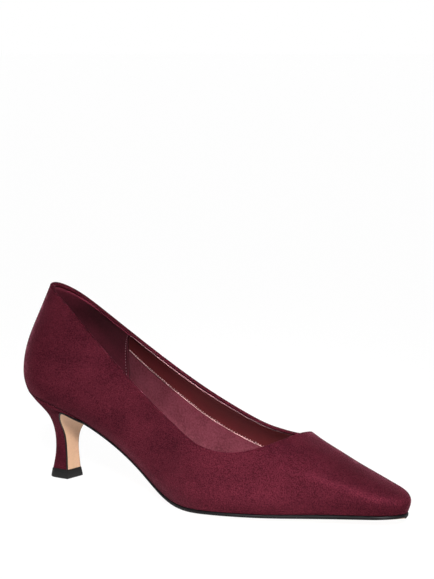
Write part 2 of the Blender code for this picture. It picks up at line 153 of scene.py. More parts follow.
def curve(places, values):
    """Natural cubic spline through two columns of a table."""
    places = np.asarray(places, float)
    values = np.asarray(values, float)
    count = len(places)
    step = np.diff(places)
    slope = np.diff(values) / step
    rows = np.eye(count)
    right = np.zeros(count)
    for i in range(1, count - 1):
        rows[i, i - 1:i + 2] = step[i - 1], 2 * (step[i - 1] + step[i]), step[i]
        right[i] = 6 * (slope[i] - slope[i - 1])
    bend = np.linalg.solve(rows, right)

    def at(x):
        x = np.clip(x, places[0], places[-1])
        i = np.clip(np.searchsorted(places, x) - 1, 0, count - 2)
        after = places[i + 1] - x
        before = x - places[i]
        cubic = (bend[i] * after ** 3 + bend[i + 1] * before ** 3) / (6 * step[i])
        start = (values[i] / step[i] - bend[i] * step[i] / 6) * after
        end = (values[i + 1] / step[i] - bend[i + 1] * step[i] / 6) * before
        return cubic + start + end
    return at


def columns_of(names, rows):
    return dict(zip(names, np.array(rows, float).T))


last = columns_of(LAST_COLUMNS, LAST_ROWS)
collar = columns_of(COLLAR_COLUMNS, COLLAR_ROWS)
section = {name: curve(last["along"], last[name]) for name in LAST_COLUMNS[1:]}
print("sections of the last at", last["along"].tolist())

# %% [markdown]
# ## The upper's surface
# A rib starts at the featherline, where the upper turns under, or a little higher where the heel's cup
# comes up round the back. It swells out to the widest line and leans in to the collar. Beside the foot it
# is a plain wall, and towards the toe it becomes the arch of the vamp. The collar is one smoothed loop, so
# that its edge runs without a kink into the throat.

# %% Outlines in plan
THROAT_START = 141.0           # where the collar leaves the side and runs to the throat
THROAT_HEIGHT = 38.6           # height of the collar there
THROAT_END = 182.8             # front of the throat on the centre line
THROAT_PLAN = (3.5, 2.3)       # powers of the throat's rounded plan, along and across
THROAT_EASE = 0.6              # how far the ribs are eased apart where they enter the throat
COLLAR_ROUND = 20.0            # how far the round at the back of the collar reaches forward
COLLAR_SOFT = 4.0              # spread of the smoothing along the collar, in its own steps
COLLAR_POINTS = 241            # points along one side of the collar before ribs are read from it
END_CROWDING = 0.4             # how much closer the ribs stand at the heel and the toe tip
CUP_SHARE = 0.26               # share of the wall's height that the heel's cup covers at the back
CUP_RUN = 38.0                 # how far the cup's rise reaches forward


def closing(reach, extent, power):
    """Rounds an end off: 0 at the tip, 1 from the given extent on."""
    return 1 - (1 - np.clip(reach / extent, 0, 1)) ** power


def half_breadth(x, side):
    heel = closing(x, HEEL_ROUND, HEEL_POWER) ** (1 / HEEL_POWER)
    toe = np.sqrt(closing(LENGTH - x, TOE_ROUND, TOE_POWER))
    return section[side](x) * heel * toe


def widest_height(x):
    return section["feather"](x) + section["wall"](x)


def arch_share(x, y, side):
    """How far out a place lies on its section: 0 on the middle, 1 at the widest line."""
    return np.clip(np.abs(y - section["centre"](x)) / np.maximum(half_breadth(x, side), TINY), 0, 1)


def dome_height(x, y, side):
    ridge = section["ridge"](x) * np.sqrt(closing(LENGTH - x, TOE_ROUND, TOE_POWER))
    return widest_height(x) + ridge * np.sqrt(1 - arch_share(x, y, side) ** 2)


def running_length(*axes):
    return np.append(0.0, np.cumsum(np.sqrt(sum(np.diff(axis) ** 2 for axis in axes))))


def widest_line(side, count):
    """Points of the widest line from back to toe, the outward normal, and the length run."""
    sign = SIDES[side]
    x = LENGTH * (1 - np.cos(np.linspace(0, np.pi, FINE_SAMPLES))) / 2
    y = section["centre"](x) + sign * half_breadth(x, side)
    run = running_length(x, y)
    turn = np.linspace(0, 2 * np.pi, count)
    stops = run[-1] * (turn - END_CROWDING * np.sin(turn)) / (2 * np.pi)
    along_x = np.interp(stops, run, np.gradient(x, run))
    along_y = np.interp(stops, run, np.gradient(y, run))
    normal = np.stack([-sign * along_y, sign * along_x], 1)
    normal /= np.linalg.norm(normal, axis=1)[:, None]
    normal[0] = -1, 0
    normal[-1] = 1, 0
    throat = np.interp(THROAT_START, x, run)
    return np.interp(stops, run, x), np.interp(stops, run, y), normal, stops, throat


def featherline(side, count, inset=0.0):
    x, y, normal, _, _ = widest_line(side, count)
    inward = section["swell"](x) + inset
    return x - normal[:, 0] * inward, y - normal[:, 1] * inward


def low_wall(side, count, above):
    """Points between the upper's lower edge and the widest line, at a share of the way up."""
    x, y, _, _, _ = widest_line(side, count)
    foot_x, foot_y = featherline(side, count)
    foot_z = section["feather"](foot_x)
    cup = CUP_SHARE * np.clip(1 - x / CUP_RUN, 0, 1)
    share = cup + (1 - cup) * above
    out = 1 - (1 - share) ** 2
    rise = (widest_height(x) - foot_z) * share
    return np.stack([foot_x + (x - foot_x) * out, foot_y + (y - foot_y) * out, foot_z + rise], 1)


def read_along(x, values):
    """A line's values as a function of the place along the shoe."""
    order = np.argsort(x)

    def at(place):
        return np.interp(place, x[order], values[order])
    return at


def edge_of(side, inset=0.0):
    """Sideways place of the inset featherline along the shoe, with its two ends."""
    x, y = featherline(side, LINE_SAMPLES, inset)
    return read_along(x, y), x.min(), x.max()


def seat_edge(side):
    """Lower edge of the upper along the shoe: its sideways place, its height and its back end."""
    x, y, z = low_wall(side, LINE_SAMPLES, 0.0).T
    return read_along(x, y), read_along(x, z), x.min()


print("breadth at the ball:", round(float(half_breadth(150.0, "lateral") + half_breadth(150.0, "medial")), 1))


# %% Collar loop
def throat_share():
    """Share of the half breadth at which the collar meets the throat, on the vamp's arch."""
    rise = (THROAT_HEIGHT - widest_height(THROAT_START)) / section["ridge"](THROAT_START)
    return np.sqrt(1 - rise ** 2)


def collar_back(side, shares):
    along = np.append(collar["along"], THROAT_START)
    height = curve(along, np.append(collar[side], THROAT_HEIGHT))
    half = curve(along, np.append(collar[side + "_half"], throat_share() * half_breadth(THROAT_START, side)))
    x = THROAT_START - (THROAT_START - along[0]) * np.cos(np.linspace(0, np.pi / 2, LINE_SAMPLES))
    round_off = np.sqrt(closing(x - along[0], COLLAR_ROUND, 2))
    y = section["centre"](x) + SIDES[side] * half(x) * round_off
    run = running_length(x, y, height(x))
    return np.stack([np.interp(shares * run[-1], run, axis) for axis in (x, y, height(x))], 1)


def collar_throat(side, shares, ribs_run):
    turn = np.linspace(0, np.pi / 2, LINE_SAMPLES)
    x = THROAT_START + (THROAT_END - THROAT_START) * np.sin(turn) ** (2 / THROAT_PLAN[0])
    across = throat_share() * np.cos(turn) ** (2 / THROAT_PLAN[1])
    y = section["centre"](x) + SIDES[side] * across * half_breadth(x, side)
    z = dome_height(x, y, side)
    run = running_length(x, y, z)
    ease = THROAT_EASE * (ribs_run / run[-1] - 1)
    stops = (shares + ease * shares * (1 - shares) ** 2) * run[-1]
    return np.stack([np.interp(stops, run, axis) for axis in (x, y, z)], 1)


def collar_loop():
    """The whole collar, smoothed as one loop: its points from back to throat for each side."""
    rough = {}
    for side in SIDES:
        _, _, _, stops, throat = widest_line(side, COLLAR_POINTS)
        back = collar_back(side, stops[stops < throat] / throat)
        ahead = stops[-1] - throat
        front = collar_throat(side, (stops[stops >= throat] - throat) / ahead, ahead)
        rough[side] = np.concatenate([back, front])
    loop = np.concatenate([rough["lateral"], rough["medial"][-2:0:-1]])
    reach = int(4 * COLLAR_SOFT)
    steps = np.arange(-reach, reach + 1)
    weights = np.exp(-0.5 * (steps / COLLAR_SOFT) ** 2)
    shares = weights / weights.sum()
    soft = sum(share * np.roll(loop, -step, axis=0) for share, step in zip(shares, steps))
    medial = np.concatenate([soft[:1], soft[:COLLAR_POINTS - 2:-1]])
    return {"lateral": soft[:COLLAR_POINTS], "medial": medial}


heads_of = collar_loop()
print("collar: back at", heads_of["lateral"][0].round(1), "throat at", heads_of["lateral"][-1].round(1))

# %% Ribs of the upper
DOME_RUN = 35.0                # length before the throat over which the walls turn into the vamp's arch
DOME_PAST = 10.0               # length after its start over which they finish turning
WALL_LEAN = 0.5                # least lean of a wall from its widest line to the collar
WALL_DRAW, DRAW_RUN = 0.5, 16.0  # how much straighter than an arc the back wall leans in, and how far round
ARCH_SPAN = 0.98               # widest share of the arch that a rib may start from
RIBS = 150                     # on each side, from back to toe
WALL_ROWS = 14
DOME_ROWS = 70


def upper_rows(side):
    """Outer surface of one side: rows from lower edge to collar, a column for each rib."""
    x, y, _, _, _ = widest_line(side, RIBS)
    z = widest_height(x)
    steps = np.linspace(0, COLLAR_POINTS - 1, RIBS)
    head_x, head_y, head_z = [np.interp(steps, np.arange(COLLAR_POINTS), axis) for axis in heads_of[side].T]
    on_dome = np.clip((x - THROAT_START + DOME_RUN) / (DOME_RUN + DOME_PAST), 0, 1)
    on_dome = on_dome * on_dome * (3 - 2 * on_dome)
    lean = np.maximum(np.hypot(head_x - x, head_y - y), WALL_LEAN)
    slimness = section["ridge"](THROAT_START) / half_breadth(THROAT_START, side)
    wall_turn = 2 * np.arctan(lean / (head_z - z) * slimness)
    dome_turn = np.arccos(np.minimum(arch_share(head_x, head_y, side), ARCH_SPAN))
    full_turn = wall_turn + (dome_turn - wall_turn) * on_dome
    draw = WALL_DRAW * np.clip(1 - x / DRAW_RUN, 0, 1)
    to_collar = (head_z - z) / np.maximum(dome_height(head_x, head_y, side) - z, TINY)
    rows = [low_wall(side, RIBS, above) for above in np.linspace(0, 1, WALL_ROWS, endpoint=False)]
    for v in np.linspace(0, 1, DOME_ROWS):
        turn = v * full_turn
        inward = (1 - np.cos(turn)) / (1 - np.cos(full_turn)) + draw * v * v * (1 - v)
        rib_x = x + (head_x - x) * inward
        rib_y = y + (head_y - y) * inward
        wall_rise = (head_z - z) * np.sin(turn) / np.sin(full_turn)
        vamp_rise = (dome_height(rib_x, rib_y, side) - z) * to_collar
        rows.append(np.stack([rib_x, rib_y, z + wall_rise + (vamp_rise - wall_rise) * on_dome], 1))
    return np.array(rows)


# Rows run down from the collar, and columns run round from the back, along the outer side, to the toe
# and home along the inner side
even_wall = np.concatenate([upper_rows("lateral"), upper_rows("medial")[:, -2:0:-1]], axis=1)[::-1]
COLUMNS = even_wall.shape[1]
TOE_COLUMN = RIBS - 1
middle_y = (even_wall[:, :, 1].min() + even_wall[:, :, 1].max()) / 2
SHIFT = np.array([cad_box[0].x / MM, -middle_y, 0.0])
print("upper:", even_wall.shape[0], "rows of", COLUMNS, "ribs")

# %% [markdown]
# ## Hills and hollows
# Suede on a worn last is never quite even. The stiff box toe draws a soft ridge along the toe's shoulder,
# with a hollow under it, the ball fills the side, and the upper sinks in a little where the foot bends.
# Each form is placed as a long soft hill or hollow: its middle, how far it reaches along and
# across, its turn in degrees and its rise.

# %% Hills and hollows
FORM_COLUMNS = ("side", "along", "height", "reach", "breadth", "turn", "rise")
FORM_ROWS = (
    (0, 222.0, 20.9, 22.0, 2.8, -14.0, 0.75),     # ridge along the toe's shoulder
    (0, 243.0, 16.4, 8.0, 2.4, -5.0, 0.45),       # its end, round the tip
    (0, 227.0, 12.0, 20.0, 3.6, -8.0, -0.5),      # hollow under the ridge
    (-1, 200.0, 14.5, 13.0, 3.6, -3.0, -0.4),     # hollow behind it
    (-1, 165.0, 19.0, 24.0, 6.5, 2.0, 0.45),      # fullness at the ball
    (-1, 125.0, 30.0, 8.0, 10.0, 20.0, -0.55),    # hollow where the foot bends
    (-1, 80.0, 40.0, 9.0, 9.0, 0.0, -0.5),        # hollow in the waist
    (-1, 191.0, 36.0, 9.0, 6.0, 0.0, 0.3),        # fullness under the throat
)
SIDE_BLEND = 6.0               # breadth over which a form of one side fades out past the middle


def soft_hills(points, rows):
    """Height of a table's hills and hollows, added up, at each point."""
    x, y, z = np.moveaxis(points, -1, 0)
    total = np.zeros_like(x)
    for row in rows:
        form = dict(zip(FORM_COLUMNS, row))
        cos, sin = np.cos(np.radians(form["turn"])), np.sin(np.radians(form["turn"]))
        ahead, above = x - form["along"], z - form["height"]
        along = (ahead * cos + above * sin) / form["reach"]
        across = (above * cos - ahead * sin) / form["breadth"]
        hill = form["rise"] * np.exp(-along ** 2 - across ** 2)
        if form["side"]:
            hill = hill * np.clip(form["side"] * (y - section["centre"](x)) / SIDE_BLEND, 0, 1)
        total += hill
    return total


def outward_normal(grid):
    normal = np.cross(np.gradient(grid, axis=0), np.roll(grid, -1, axis=1) - np.roll(grid, 1, axis=1))
    return normal / np.linalg.norm(normal, axis=2)[:, :, None]


lift = soft_hills(even_wall, FORM_ROWS)
wall = even_wall + outward_normal(even_wall) * lift[:, :, None]
wall_normal = outward_normal(wall)
wall_run = np.array([running_length(*wall[:, i].T) for i in range(COLUMNS)]).T
wall_length = wall_run[-1]
wall_down = (wall[1] - wall[0]) / np.linalg.norm(wall[1] - wall[0], axis=1)[:, None]
print("hills up to", lift.max().round(2), "hollows down to", lift.min().round(2), "mm")


# %% [markdown]
# ## Strips that follow the wall
# Suede, facing and linings are strips of one kind: they run round the shoe, and their cut section is a
# closed line. A point of that line is given by its distance down from the collar and its depth in from
# the outer face. One function turns such a line into a closed body, so every layer lies on its neighbour.

# %% Strip tools
SHARP_ANGLE = np.radians(40.0)


def rib_point(column, run, deep):
    """Point on one rib. A negative run stands up over the collar, in line with the wall."""
    rib = column % COLUMNS
    place = np.array([np.interp(run, wall_run[:, rib], axis) for axis in wall[:, rib].T])
    out = np.array([np.interp(run, wall_run[:, rib], axis) for axis in wall_normal[:, rib].T])
    return place + min(run, 0.0) * wall_down[rib] - deep * out


def on_wall(columns, distance, depth):
    """Points on the wall, a distance down from the collar and a depth in from the outer face.

    A column may be a fraction, for a place between two ribs.
    """
    points = []
    for column, run, deep in np.broadcast(columns, distance, depth):
        rib = int(np.floor(column))
        point = rib_point(rib, run, deep)
        if column > rib:
            point = point + (rib_point(rib + 1, run, deep) - point) * (column - rib)
        points.append(point)
    return np.array(points)


def make_object(name, points, faces, finishes, finish_of=None):
    """Object in the shoe's frame from points in millimetres; finish_of gives each face its finish."""
    mesh = bpy.data.meshes.new(name)
    mesh.from_pydata(((np.asarray(points) + SHIFT) * MM).tolist(), [], faces)
    for finish in finishes:
        mesh.materials.append(finish)
    if finish_of is not None:
        mesh.polygons.foreach_set("material_index", np.asarray(finish_of, np.int32))
    bm = bmesh.new()
    bm.from_mesh(mesh)
    bmesh.ops.recalc_face_normals(bm, faces=bm.faces[:])
    bm.to_mesh(mesh)
    bm.free()
    mesh.shade_smooth()
    mesh.set_sharp_from_angle(angle=SHARP_ANGLE)
    obj = bpy.data.objects.new(name, mesh)
    bpy.context.scene.collection.objects.link(obj)
    return obj


def body_of_rings(name, rings, finishes, around=False, finish_of_step=None, cap_finish=0):
    """Closed body through rings of equal count. Where the rings don't close round, each end is capped.

    finish_of_step says which finish the faces after each point of a ring take, cap_finish that of the caps.
    """
    rings = np.asarray(rings)
    ring_count, count = rings.shape[:2]
    faces = []
    steps = []
    for i in range(ring_count if around else ring_count - 1):
        here = i * count
        there = (i + 1) % ring_count * count
        for j in range(count):
            k = (j + 1) % count
            faces.append((here + j, here + k, there + k, there + j))
            steps.append(j)
    finish_of = [0 if finish_of_step is None else finish_of_step[j] for j in steps]
    for start in () if around else (0, (ring_count - 1) * count):
        for j in range((count - 1) // 2):
            corners = (start + j, start + j + 1, start + count - 2 - j, start + count - 1 - j)
            faces.append(tuple(dict.fromkeys(corners)))
            finish_of.append(cap_finish)
    return make_object(name, rings.reshape(-1, 3), faces, finishes, finish_of)


def strip_rings(columns, profile, lean=0.0):
    """Rings of a strip: for each rib, the points of a closed line of (distance, depth) pairs.

    lean moves a ring's points along the strip, by so many ribs for each millimetre down.
    """
    rows = np.array([on_wall(columns + lean * distance, distance, depth) for distance, depth in profile])
    return rows.transpose(1, 0, 2)


def between(start, end, count, last=True):
    """Evenly spaced values; start and end may be one number each or a number for every rib."""
    return [start + (end - start) * share for share in np.linspace(0, 1, count, endpoint=last)]


print("strip tools ready for", COLUMNS, "ribs")

# %% [markdown]
# ## Colours and the node helper
# Colours are read off the real thing as sRGB hex values. Cycles works in linear light, so one function
# turns them. One more small function adds a node, sets it and links it, for materials and for geometry.

# %% Colour and node helpers
def linear(hex_colour):
    parts = [int(hex_colour[i:i + 2], 16) / 255 for i in (1, 3, 5)]
    return tuple(p / 12.92 if p <= 0.04045 else ((p + 0.055) / 1.055) ** 2.4 for p in parts) + (1.0,)


def add_node(tree, kind, inputs=None, **settings):
    """Adds a node; inputs maps socket names or numbers to values, or to sockets that are linked in."""
    node = tree.nodes.new(kind)
    for name, value in settings.items():
        setattr(node, name, value)
    for socket, value in (inputs or {}).items():
        if isinstance(value, bpy.types.NodeSocket):
            tree.links.new(value, node.inputs[socket])
        else:
            node.inputs[socket].default_value = value
    return node


def new_finish(name, inputs):
    """Principled material with these inputs: the material, its tree and its shader."""
    finish = bpy.data.materials.new(name)
    finish.use_nodes = True
    shader = finish.node_tree.nodes["Principled BSDF"]
    for socket, value in inputs.items():
        shader.inputs[socket].default_value = value
    return finish, finish.node_tree, shader


def per_mm(size):
    """Scale of a pattern on Object coordinates whose features are this many millimetres across."""
    return 1.0 / (size * MM)


print("burgundy in linear light:", [round(v, 3) for v in linear("#66232f")])

# %% [markdown]
# ## Suede
# The upper and the heel are covered in faux suede: a microfibre cloth with a brushed nap. The nap
# scatters light, so it has no gloss, glows a little at grazing angles and looks cloudy where a hand has
# brushed it one way or the other. Fibres are far finer than a pixel, so the nap's speckle is drawn over
# half a millimetre wide, as coarse as it needs to show.
#
# A piece may also carry a tone on its points, which its finish reads as an attribute. It paints light and
# shade into the colour, lighter where light catches the piece and darker where shade falls, without a second
# material.

# %% Suede finish
SUEDE_SHADES = ((0.0, "#260910"), (1.0, "#4a1923"), (0.5, "#381119"))
NAP_SPECKLE = 0.65             # tufts of fibres, drawn coarser than they are
NAP_CLOUD = 16.0               # patches that a hand has brushed
NAP_STROKE = 4.5               # single strokes in them
CLOUD_SHARE = 3.2              # weight of clouds and of speckle, where a stroke has 1
SPECKLE_SHARE = 10.0
MOTTLE_SPAN = (5.3, 8.9)       # sum of the three that goes from the dark shade to the light one


def dye(tree, shader, pattern, span, shades):
    """Links the base colour: shades spread over a span of the pattern, then scaled by the piece's tone,
    its painted light and shade.

    The first two shades are the ends of the span. A tone of 0 leaves the colour, and 0.2 makes it a fifth
    lighter.
    """
    share = add_node(tree, "ShaderNodeMapRange", {"Value": pattern, "From Min": span[0], "From Max": span[1]})
    ramp = add_node(tree, "ShaderNodeValToRGB", {"Fac": share.outputs[0]})
    elements = ramp.color_ramp.elements
    for i, (place, shade) in enumerate(shades):
        element = elements[i] if i < 2 else elements.new(place)
        element.color = linear(shade)
    tone = add_node(tree, "ShaderNodeAttribute", attribute_name="tone").outputs["Fac"]
    gain = add_node(tree, "ShaderNodeMath", {0: tone, 1: 1.0}, operation="ADD")
    scaled = add_node(tree, "ShaderNodeVectorMath", {
        0: ramp.outputs[0], "Scale": gain.outputs[0]}, operation="SCALE")
    tree.links.new(scaled.outputs[0], shader.inputs["Base Color"])


def set_tone(obj, values):
    """Gives each point of a piece its tone: painted light and shade in its colour."""
    tone = obj.data.attributes.new("tone", "FLOAT", "POINT")
    tone.data.foreach_set("value", np.asarray(values, np.float32).ravel())


def suede_finish():
    finish, tree, shader = new_finish("burgundy_faux_suede", {
        "Roughness": 0.95, "IOR": 1.5, "Specular IOR Level": 0.0,
        "Sheen Weight": 0.15, "Sheen Roughness": 0.3, "Sheen Tint": linear("#f090a6")})
    place = add_node(tree, "ShaderNodeTexCoord").outputs["Object"]
    stretched = add_node(tree, "ShaderNodeMapping", {"Vector": place, "Scale": (0.7, 1.0, 1.0)})
    cloud = add_node(tree, "ShaderNodeTexNoise", {
        "Vector": stretched.outputs[0], "Scale": per_mm(NAP_CLOUD), "Detail": 3.0, "Roughness": 0.55})
    stroke = add_node(tree, "ShaderNodeTexNoise", {
        "Vector": stretched.outputs[0], "Scale": per_mm(NAP_STROKE), "Detail": 2.0, "Roughness": 0.6})
    speckle = add_node(tree, "ShaderNodeTexNoise", {
        "Vector": place, "Scale": per_mm(NAP_SPECKLE), "Detail": 2.0, "Roughness": 0.7})
    brushed = add_node(tree, "ShaderNodeMath", {
        0: cloud.outputs[0], 1: CLOUD_SHARE, 2: stroke.outputs[0]}, operation="MULTIPLY_ADD")
    mottle = add_node(tree, "ShaderNodeMath", {
        0: speckle.outputs[0], 1: SPECKLE_SHARE, 2: brushed.outputs[0]}, operation="MULTIPLY_ADD")
    dye(tree, shader, mottle.outputs[0], MOTTLE_SPAN, SUEDE_SHADES)
    bump = add_node(tree, "ShaderNodeBump", {
        "Strength": 0.35, "Distance": 0.15 * MM, "Height": mottle.outputs[0]})
    tree.links.new(bump.outputs[0], shader.inputs["Normal"])
    return finish


suede = suede_finish()
print("made", suede.name)

# %% [markdown]
# ## Leathers, linings and rubber
# Inside, a band of smooth coated leather faces the collar: it is the only glossy surface of the shoe.
# The walls and the sock are lined with a fine-grained mauve lining, and the heel with a matte plum
# microfibre that grips the foot. The sole is smooth tan leather. Its edges are painted with black edge
# ink, which dries to a satin film. The top piece is hard black rubber.

# %% Grained finishes
FACING_GRAIN = 0.9             # pebbles of the grain, which is finer in truth and drawn so that it shows
LINING_GRAIN = 1.0
SOLE_GRAIN = 1.2
PATCH_SIZE = 14                # patches of uneven dye, in grains
PATCH_SHARE = 0.6              # their weight, where the grain has 1
GRAIN_SPAN = (0.6, 1.0)


def grained_finish(name, shades, grain, roughness, relief, specular, coat=0.0, sheen=0.0):
    """A dark and a light shade mixed by a fine grain, which also raises the surface by a relief in mm."""
    finish, tree, shader = new_finish(name, {
        "Roughness": roughness, "IOR": 1.5, "Specular IOR Level": specular, "Coat Weight": coat,
        "Coat Roughness": 0.2, "Sheen Weight": sheen, "Sheen Tint": linear("#e8a9ac")})
    place = add_node(tree, "ShaderNodeTexCoord").outputs["Object"]
    fine = add_node(tree, "ShaderNodeTexNoise", {
        "Vector": place, "Scale": per_mm(grain), "Detail": 3.0, "Roughness": 0.6})
    broad = add_node(tree, "ShaderNodeTexNoise", {
        "Vector": place, "Scale": per_mm(grain * PATCH_SIZE), "Detail": 2.0, "Roughness": 0.5})
    mixed = add_node(tree, "ShaderNodeMath", {
        0: broad.outputs[0], 1: PATCH_SHARE, 2: fine.outputs[0]}, operation="MULTIPLY_ADD")
    dye(tree, shader, mixed.outputs[0], GRAIN_SPAN, tuple(enumerate(shades)))
    bump = add_node(tree, "ShaderNodeBump", {
        "Strength": 0.5, "Distance": relief * MM, "Height": fine.outputs[0]})
    tree.links.new(bump.outputs[0], shader.inputs["Normal"])
    return finish


# Calf with a thin coat: dark and smooth, with a soft shine along the band
facing_leather = grained_finish(
    "coated_facing_leather", ("#371012", "#421316"), FACING_GRAIN, 0.38, 0.03, 0.5, coat=0.15)
# Painted highlight on the folded edge of the same leather: a pale shade stands in for the light it catches
bead_highlight_leather = grained_finish("facing_edge_painted_highlight", ("#7a5055", "#8f666b"), FACING_GRAIN, 0.4, 0.02, 0.35)
# Embossed lining cloth: dull, with a fine pebble
wall_lining_cloth = grained_finish("mauve_lining", ("#43151e", "#5c2732"), LINING_GRAIN, 0.75, 0.12, 0.18)
# Napped microfibre: matte and deep, with a trace of bloom
heel_lining_cloth = grained_finish(
    "plum_microfibre", ("#2d0c13", "#39111a"), LINING_GRAIN, 0.92, 0.15, 0.06, sheen=0.02)
# Undyed core of the lining where it is cut: a pale line, made paler still as a painted highlight
raw_edge = grained_finish("pale_cut_edge", ("#8d6b6a", "#a88584"), LINING_GRAIN, 0.6, 0.05, 0.3)
# Spun polyester thread: pale dots with a soft sheen
thread = grained_finish("pale_pink_thread", ("#906c6e", "#ac8b8c"), LINING_GRAIN, 0.6, 0.05, 0.3)
# The same thread dyed to the heel lining, so that its seam hardly shows
dark_thread = grained_finish("plum_thread", ("#6a454c", "#7a545b"), LINING_GRAIN, 0.7, 0.05, 0.2)
# The shade in a needle hole: nearly black
needle_hole = grained_finish("needle_hole_shade", ("#16060a", "#1d090d"), LINING_GRAIN, 0.9, 0.02, 0.05)
# Rolled sole leather: pale tan, close-grained and satin
sole_leather = grained_finish("tan_sole_leather", ("#a18066", "#ac896d"), SOLE_GRAIN, 0.48, 0.05, 0.4)
# Edge ink, brushed on: a black line round the sole
edge_ink = grained_finish("black_edge_ink", ("#060506", "#0a0809"), SOLE_GRAIN, 0.5, 0.04, 0.15)
# Moulded hard rubber: black and satin
heel_rubber = grained_finish("black_top_piece_rubber", ("#090808", "#0e0c0d"), SOLE_GRAIN, 0.5, 0.06, 0.25)
print("made", len(bpy.data.materials), "finishes")

# %% [markdown]
# ## The suede upper
# The suede is folded over the collar and ends just inside, so the edge is a soft roll, fuller at the
# back, where it is padded. Its section is one closed line. It goes up the outer face, round the roll, and
# back down the hidden side to the lower edge, which turns under a little and leaves a groove at the heel.

# %% Suede upper with its folded collar
SUEDE_THICK = 0.9
ROLL = 1.0                     # radius of the rolled edge along the sides
ROLL_RISE = 0.45               # how far it stands over the wall's own edge
BACK_ROLL = 1.0                # how much fuller it is at the back
BACK_BULGE = 0.6               # how far it stands off the outer face there
BACK_ROLL_RUN = 30.0           # how far round from the back that reaches
FOLD = 0.3                     # suede that shows below the roll on the inside
TURN_UNDER = ((0.0, 0.35), (0.3, 0.12), (0.6, 0.02))  # lower edge: distance up from it, depth
TURN_TOP = 0.9                 # where the plain outer face starts over it
TUCK_STEP, TUCK_BACK, TUCK_CLEAR = 0.05, 0.15, 0.2  # how the cut end of the fold is tucked under the roll
OUTER_ROWS = 67
ROLL_POINTS = 13
HIDDEN_ROWS = 14

all_columns = np.arange(COLUMNS)
from_back = np.clip(wall[0, :, 0] / BACK_ROLL_RUN, 0, 1)
roll_of = ROLL + BACK_ROLL * (1 - from_back)
roll_foot = roll_of - ROLL_RISE
bulge_of = BACK_BULGE * (1 - from_back)
fold_of = roll_of + FOLD


def suede_profile():
    up = [(wall_length - rise, depth) for rise, depth in TURN_UNDER]
    up += [(run, 0.0) for run in between(wall_length - TURN_TOP, roll_foot, OUTER_ROWS, last=False)]
    roll = []
    for turn in np.linspace(0, np.pi, ROLL_POINTS):
        bulge = bulge_of * max(np.sin(2 * turn), 0.0)
        roll.append((roll_foot - roll_of * np.sin(turn), roll_of * (1 - np.cos(turn)) - bulge))
    tuck_end = fold_of + TUCK_STEP
    tuck = [(fold_of, 2 * roll_of - TUCK_BACK), (tuck_end, SUEDE_THICK + TUCK_CLEAR)]
    down = [(run, SUEDE_THICK) for run in between(tuck_end, wall_length, HIDDEN_ROWS)]
    return up + roll + tuck + down


suede_line = suede_profile()
suede_rings = strip_rings(all_columns, suede_line)
upper_suede = body_of_rings("upper_suede", suede_rings, [suede], around=True)
print("upper_suede:", len(upper_suede.data.polygons), "faces")

# %% [markdown]
# ## Painted light and shade
# Light and shade are painted into the suede's colour: a painted highlight along the toe's ridge and the ball,
# and painted shade in the hollows, on top of the toe and over the back quarter. These patches are placed in
# the same way as the hills, with a tone in place of the rise. They could be painted as an image, but rows of
# a table can be read and moved. The suede also has painted shade where it meets the heel's cup and where it
# tucks in under the roll.

# %% Painted light and shade on the suede
LIGHT_AND_SHADE_ROWS = (
    (0, 222.0, 21.0, 22.0, 1.7, -14.0, 0.5),      # painted highlight along the toe's ridge
    (0, 242.0, 16.3, 8.0, 1.7, -5.0, 0.5),        # and round its end
    (0, 228.0, 10.5, 20.0, 4.0, -5.0, -0.25),     # dark under the ridge
    (0, 222.0, 28.5, 20.0, 5.0, -22.0, -0.2),     # dark on top of the toe
    (-1, 200.0, 13.5, 12.0, 4.0, 0.0, -0.15),     # dark behind the ridge
    (-1, 162.0, 16.0, 32.0, 5.5, 0.0, 0.2),       # light along the ball
    (-1, 176.0, 6.0, 25.0, 3.0, 0.0, -0.15),      # dark above the sole
    (-1, 125.0, 31.0, 8.0, 9.0, 20.0, -0.15),     # dark where the foot bends
    (-1, 82.0, 42.0, 7.0, 6.0, 0.0, -0.15),       # dark in the waist
    (-1, 40.0, 80.0, 12.0, 18.0, 0.0, -0.1),      # dark on the quarter
    (0, 3.0, 56.0, 9.0, 9.0, 0.0, -0.15),         # dark at the back, over the heel
)
SEAM_SHADE = -0.9              # how much darker the suede is where it meets the heel's cup
SEAM_SHADE_RUN = 0.8
SEAM_SHADE_FADE = (2.0, 1.5)   # full to two thirds of the cup's run, none a third past it
GROOVE_SHADE = (-0.35, -0.75, -0.75)  # last point of the roll and the two that tuck it in

suede_light_and_shade = soft_hills(suede_rings, LIGHT_AND_SHADE_ROWS)
outer = OUTER_ROWS + len(TURN_UNDER)
over_edge = np.transpose([wall_length - run for run, _ in suede_line[:outer]])
at_cup = np.clip(SEAM_SHADE_FADE[0] - SEAM_SHADE_FADE[1] * suede_rings[:, :outer, 0] / CUP_RUN, 0, 1)
suede_light_and_shade[:, :outer] += SEAM_SHADE * at_cup * np.exp(-(over_edge / SEAM_SHADE_RUN) ** 2)
groove = suede_rings.shape[1] - HIDDEN_ROWS - len(GROOVE_SHADE)
suede_light_and_shade[:, groove:groove + len(GROOVE_SHADE)] = GROOVE_SHADE
set_tone(upper_suede, suede_light_and_shade)
print("nap tone from", suede_light_and_shade.min().round(2), "to", suede_light_and_shade.max().round(2))

# %% [markdown]
# ## Facing, wall lining and heel lining
# The facing is a band of leather under the roll. Its upper edge is turned to a thin bead, which carries a
# painted highlight in a pale finish and flattens out towards the throat, where the painted highlight dims.
# The wall lining lies over the facing's lower edge, and its own cut edge shows pale, with a painted highlight
# on it. Behind an upright seam the heel lining runs round the back and covers the ends of both. All three are
# closed strips on the wall, so each can have its own thickness and edges.

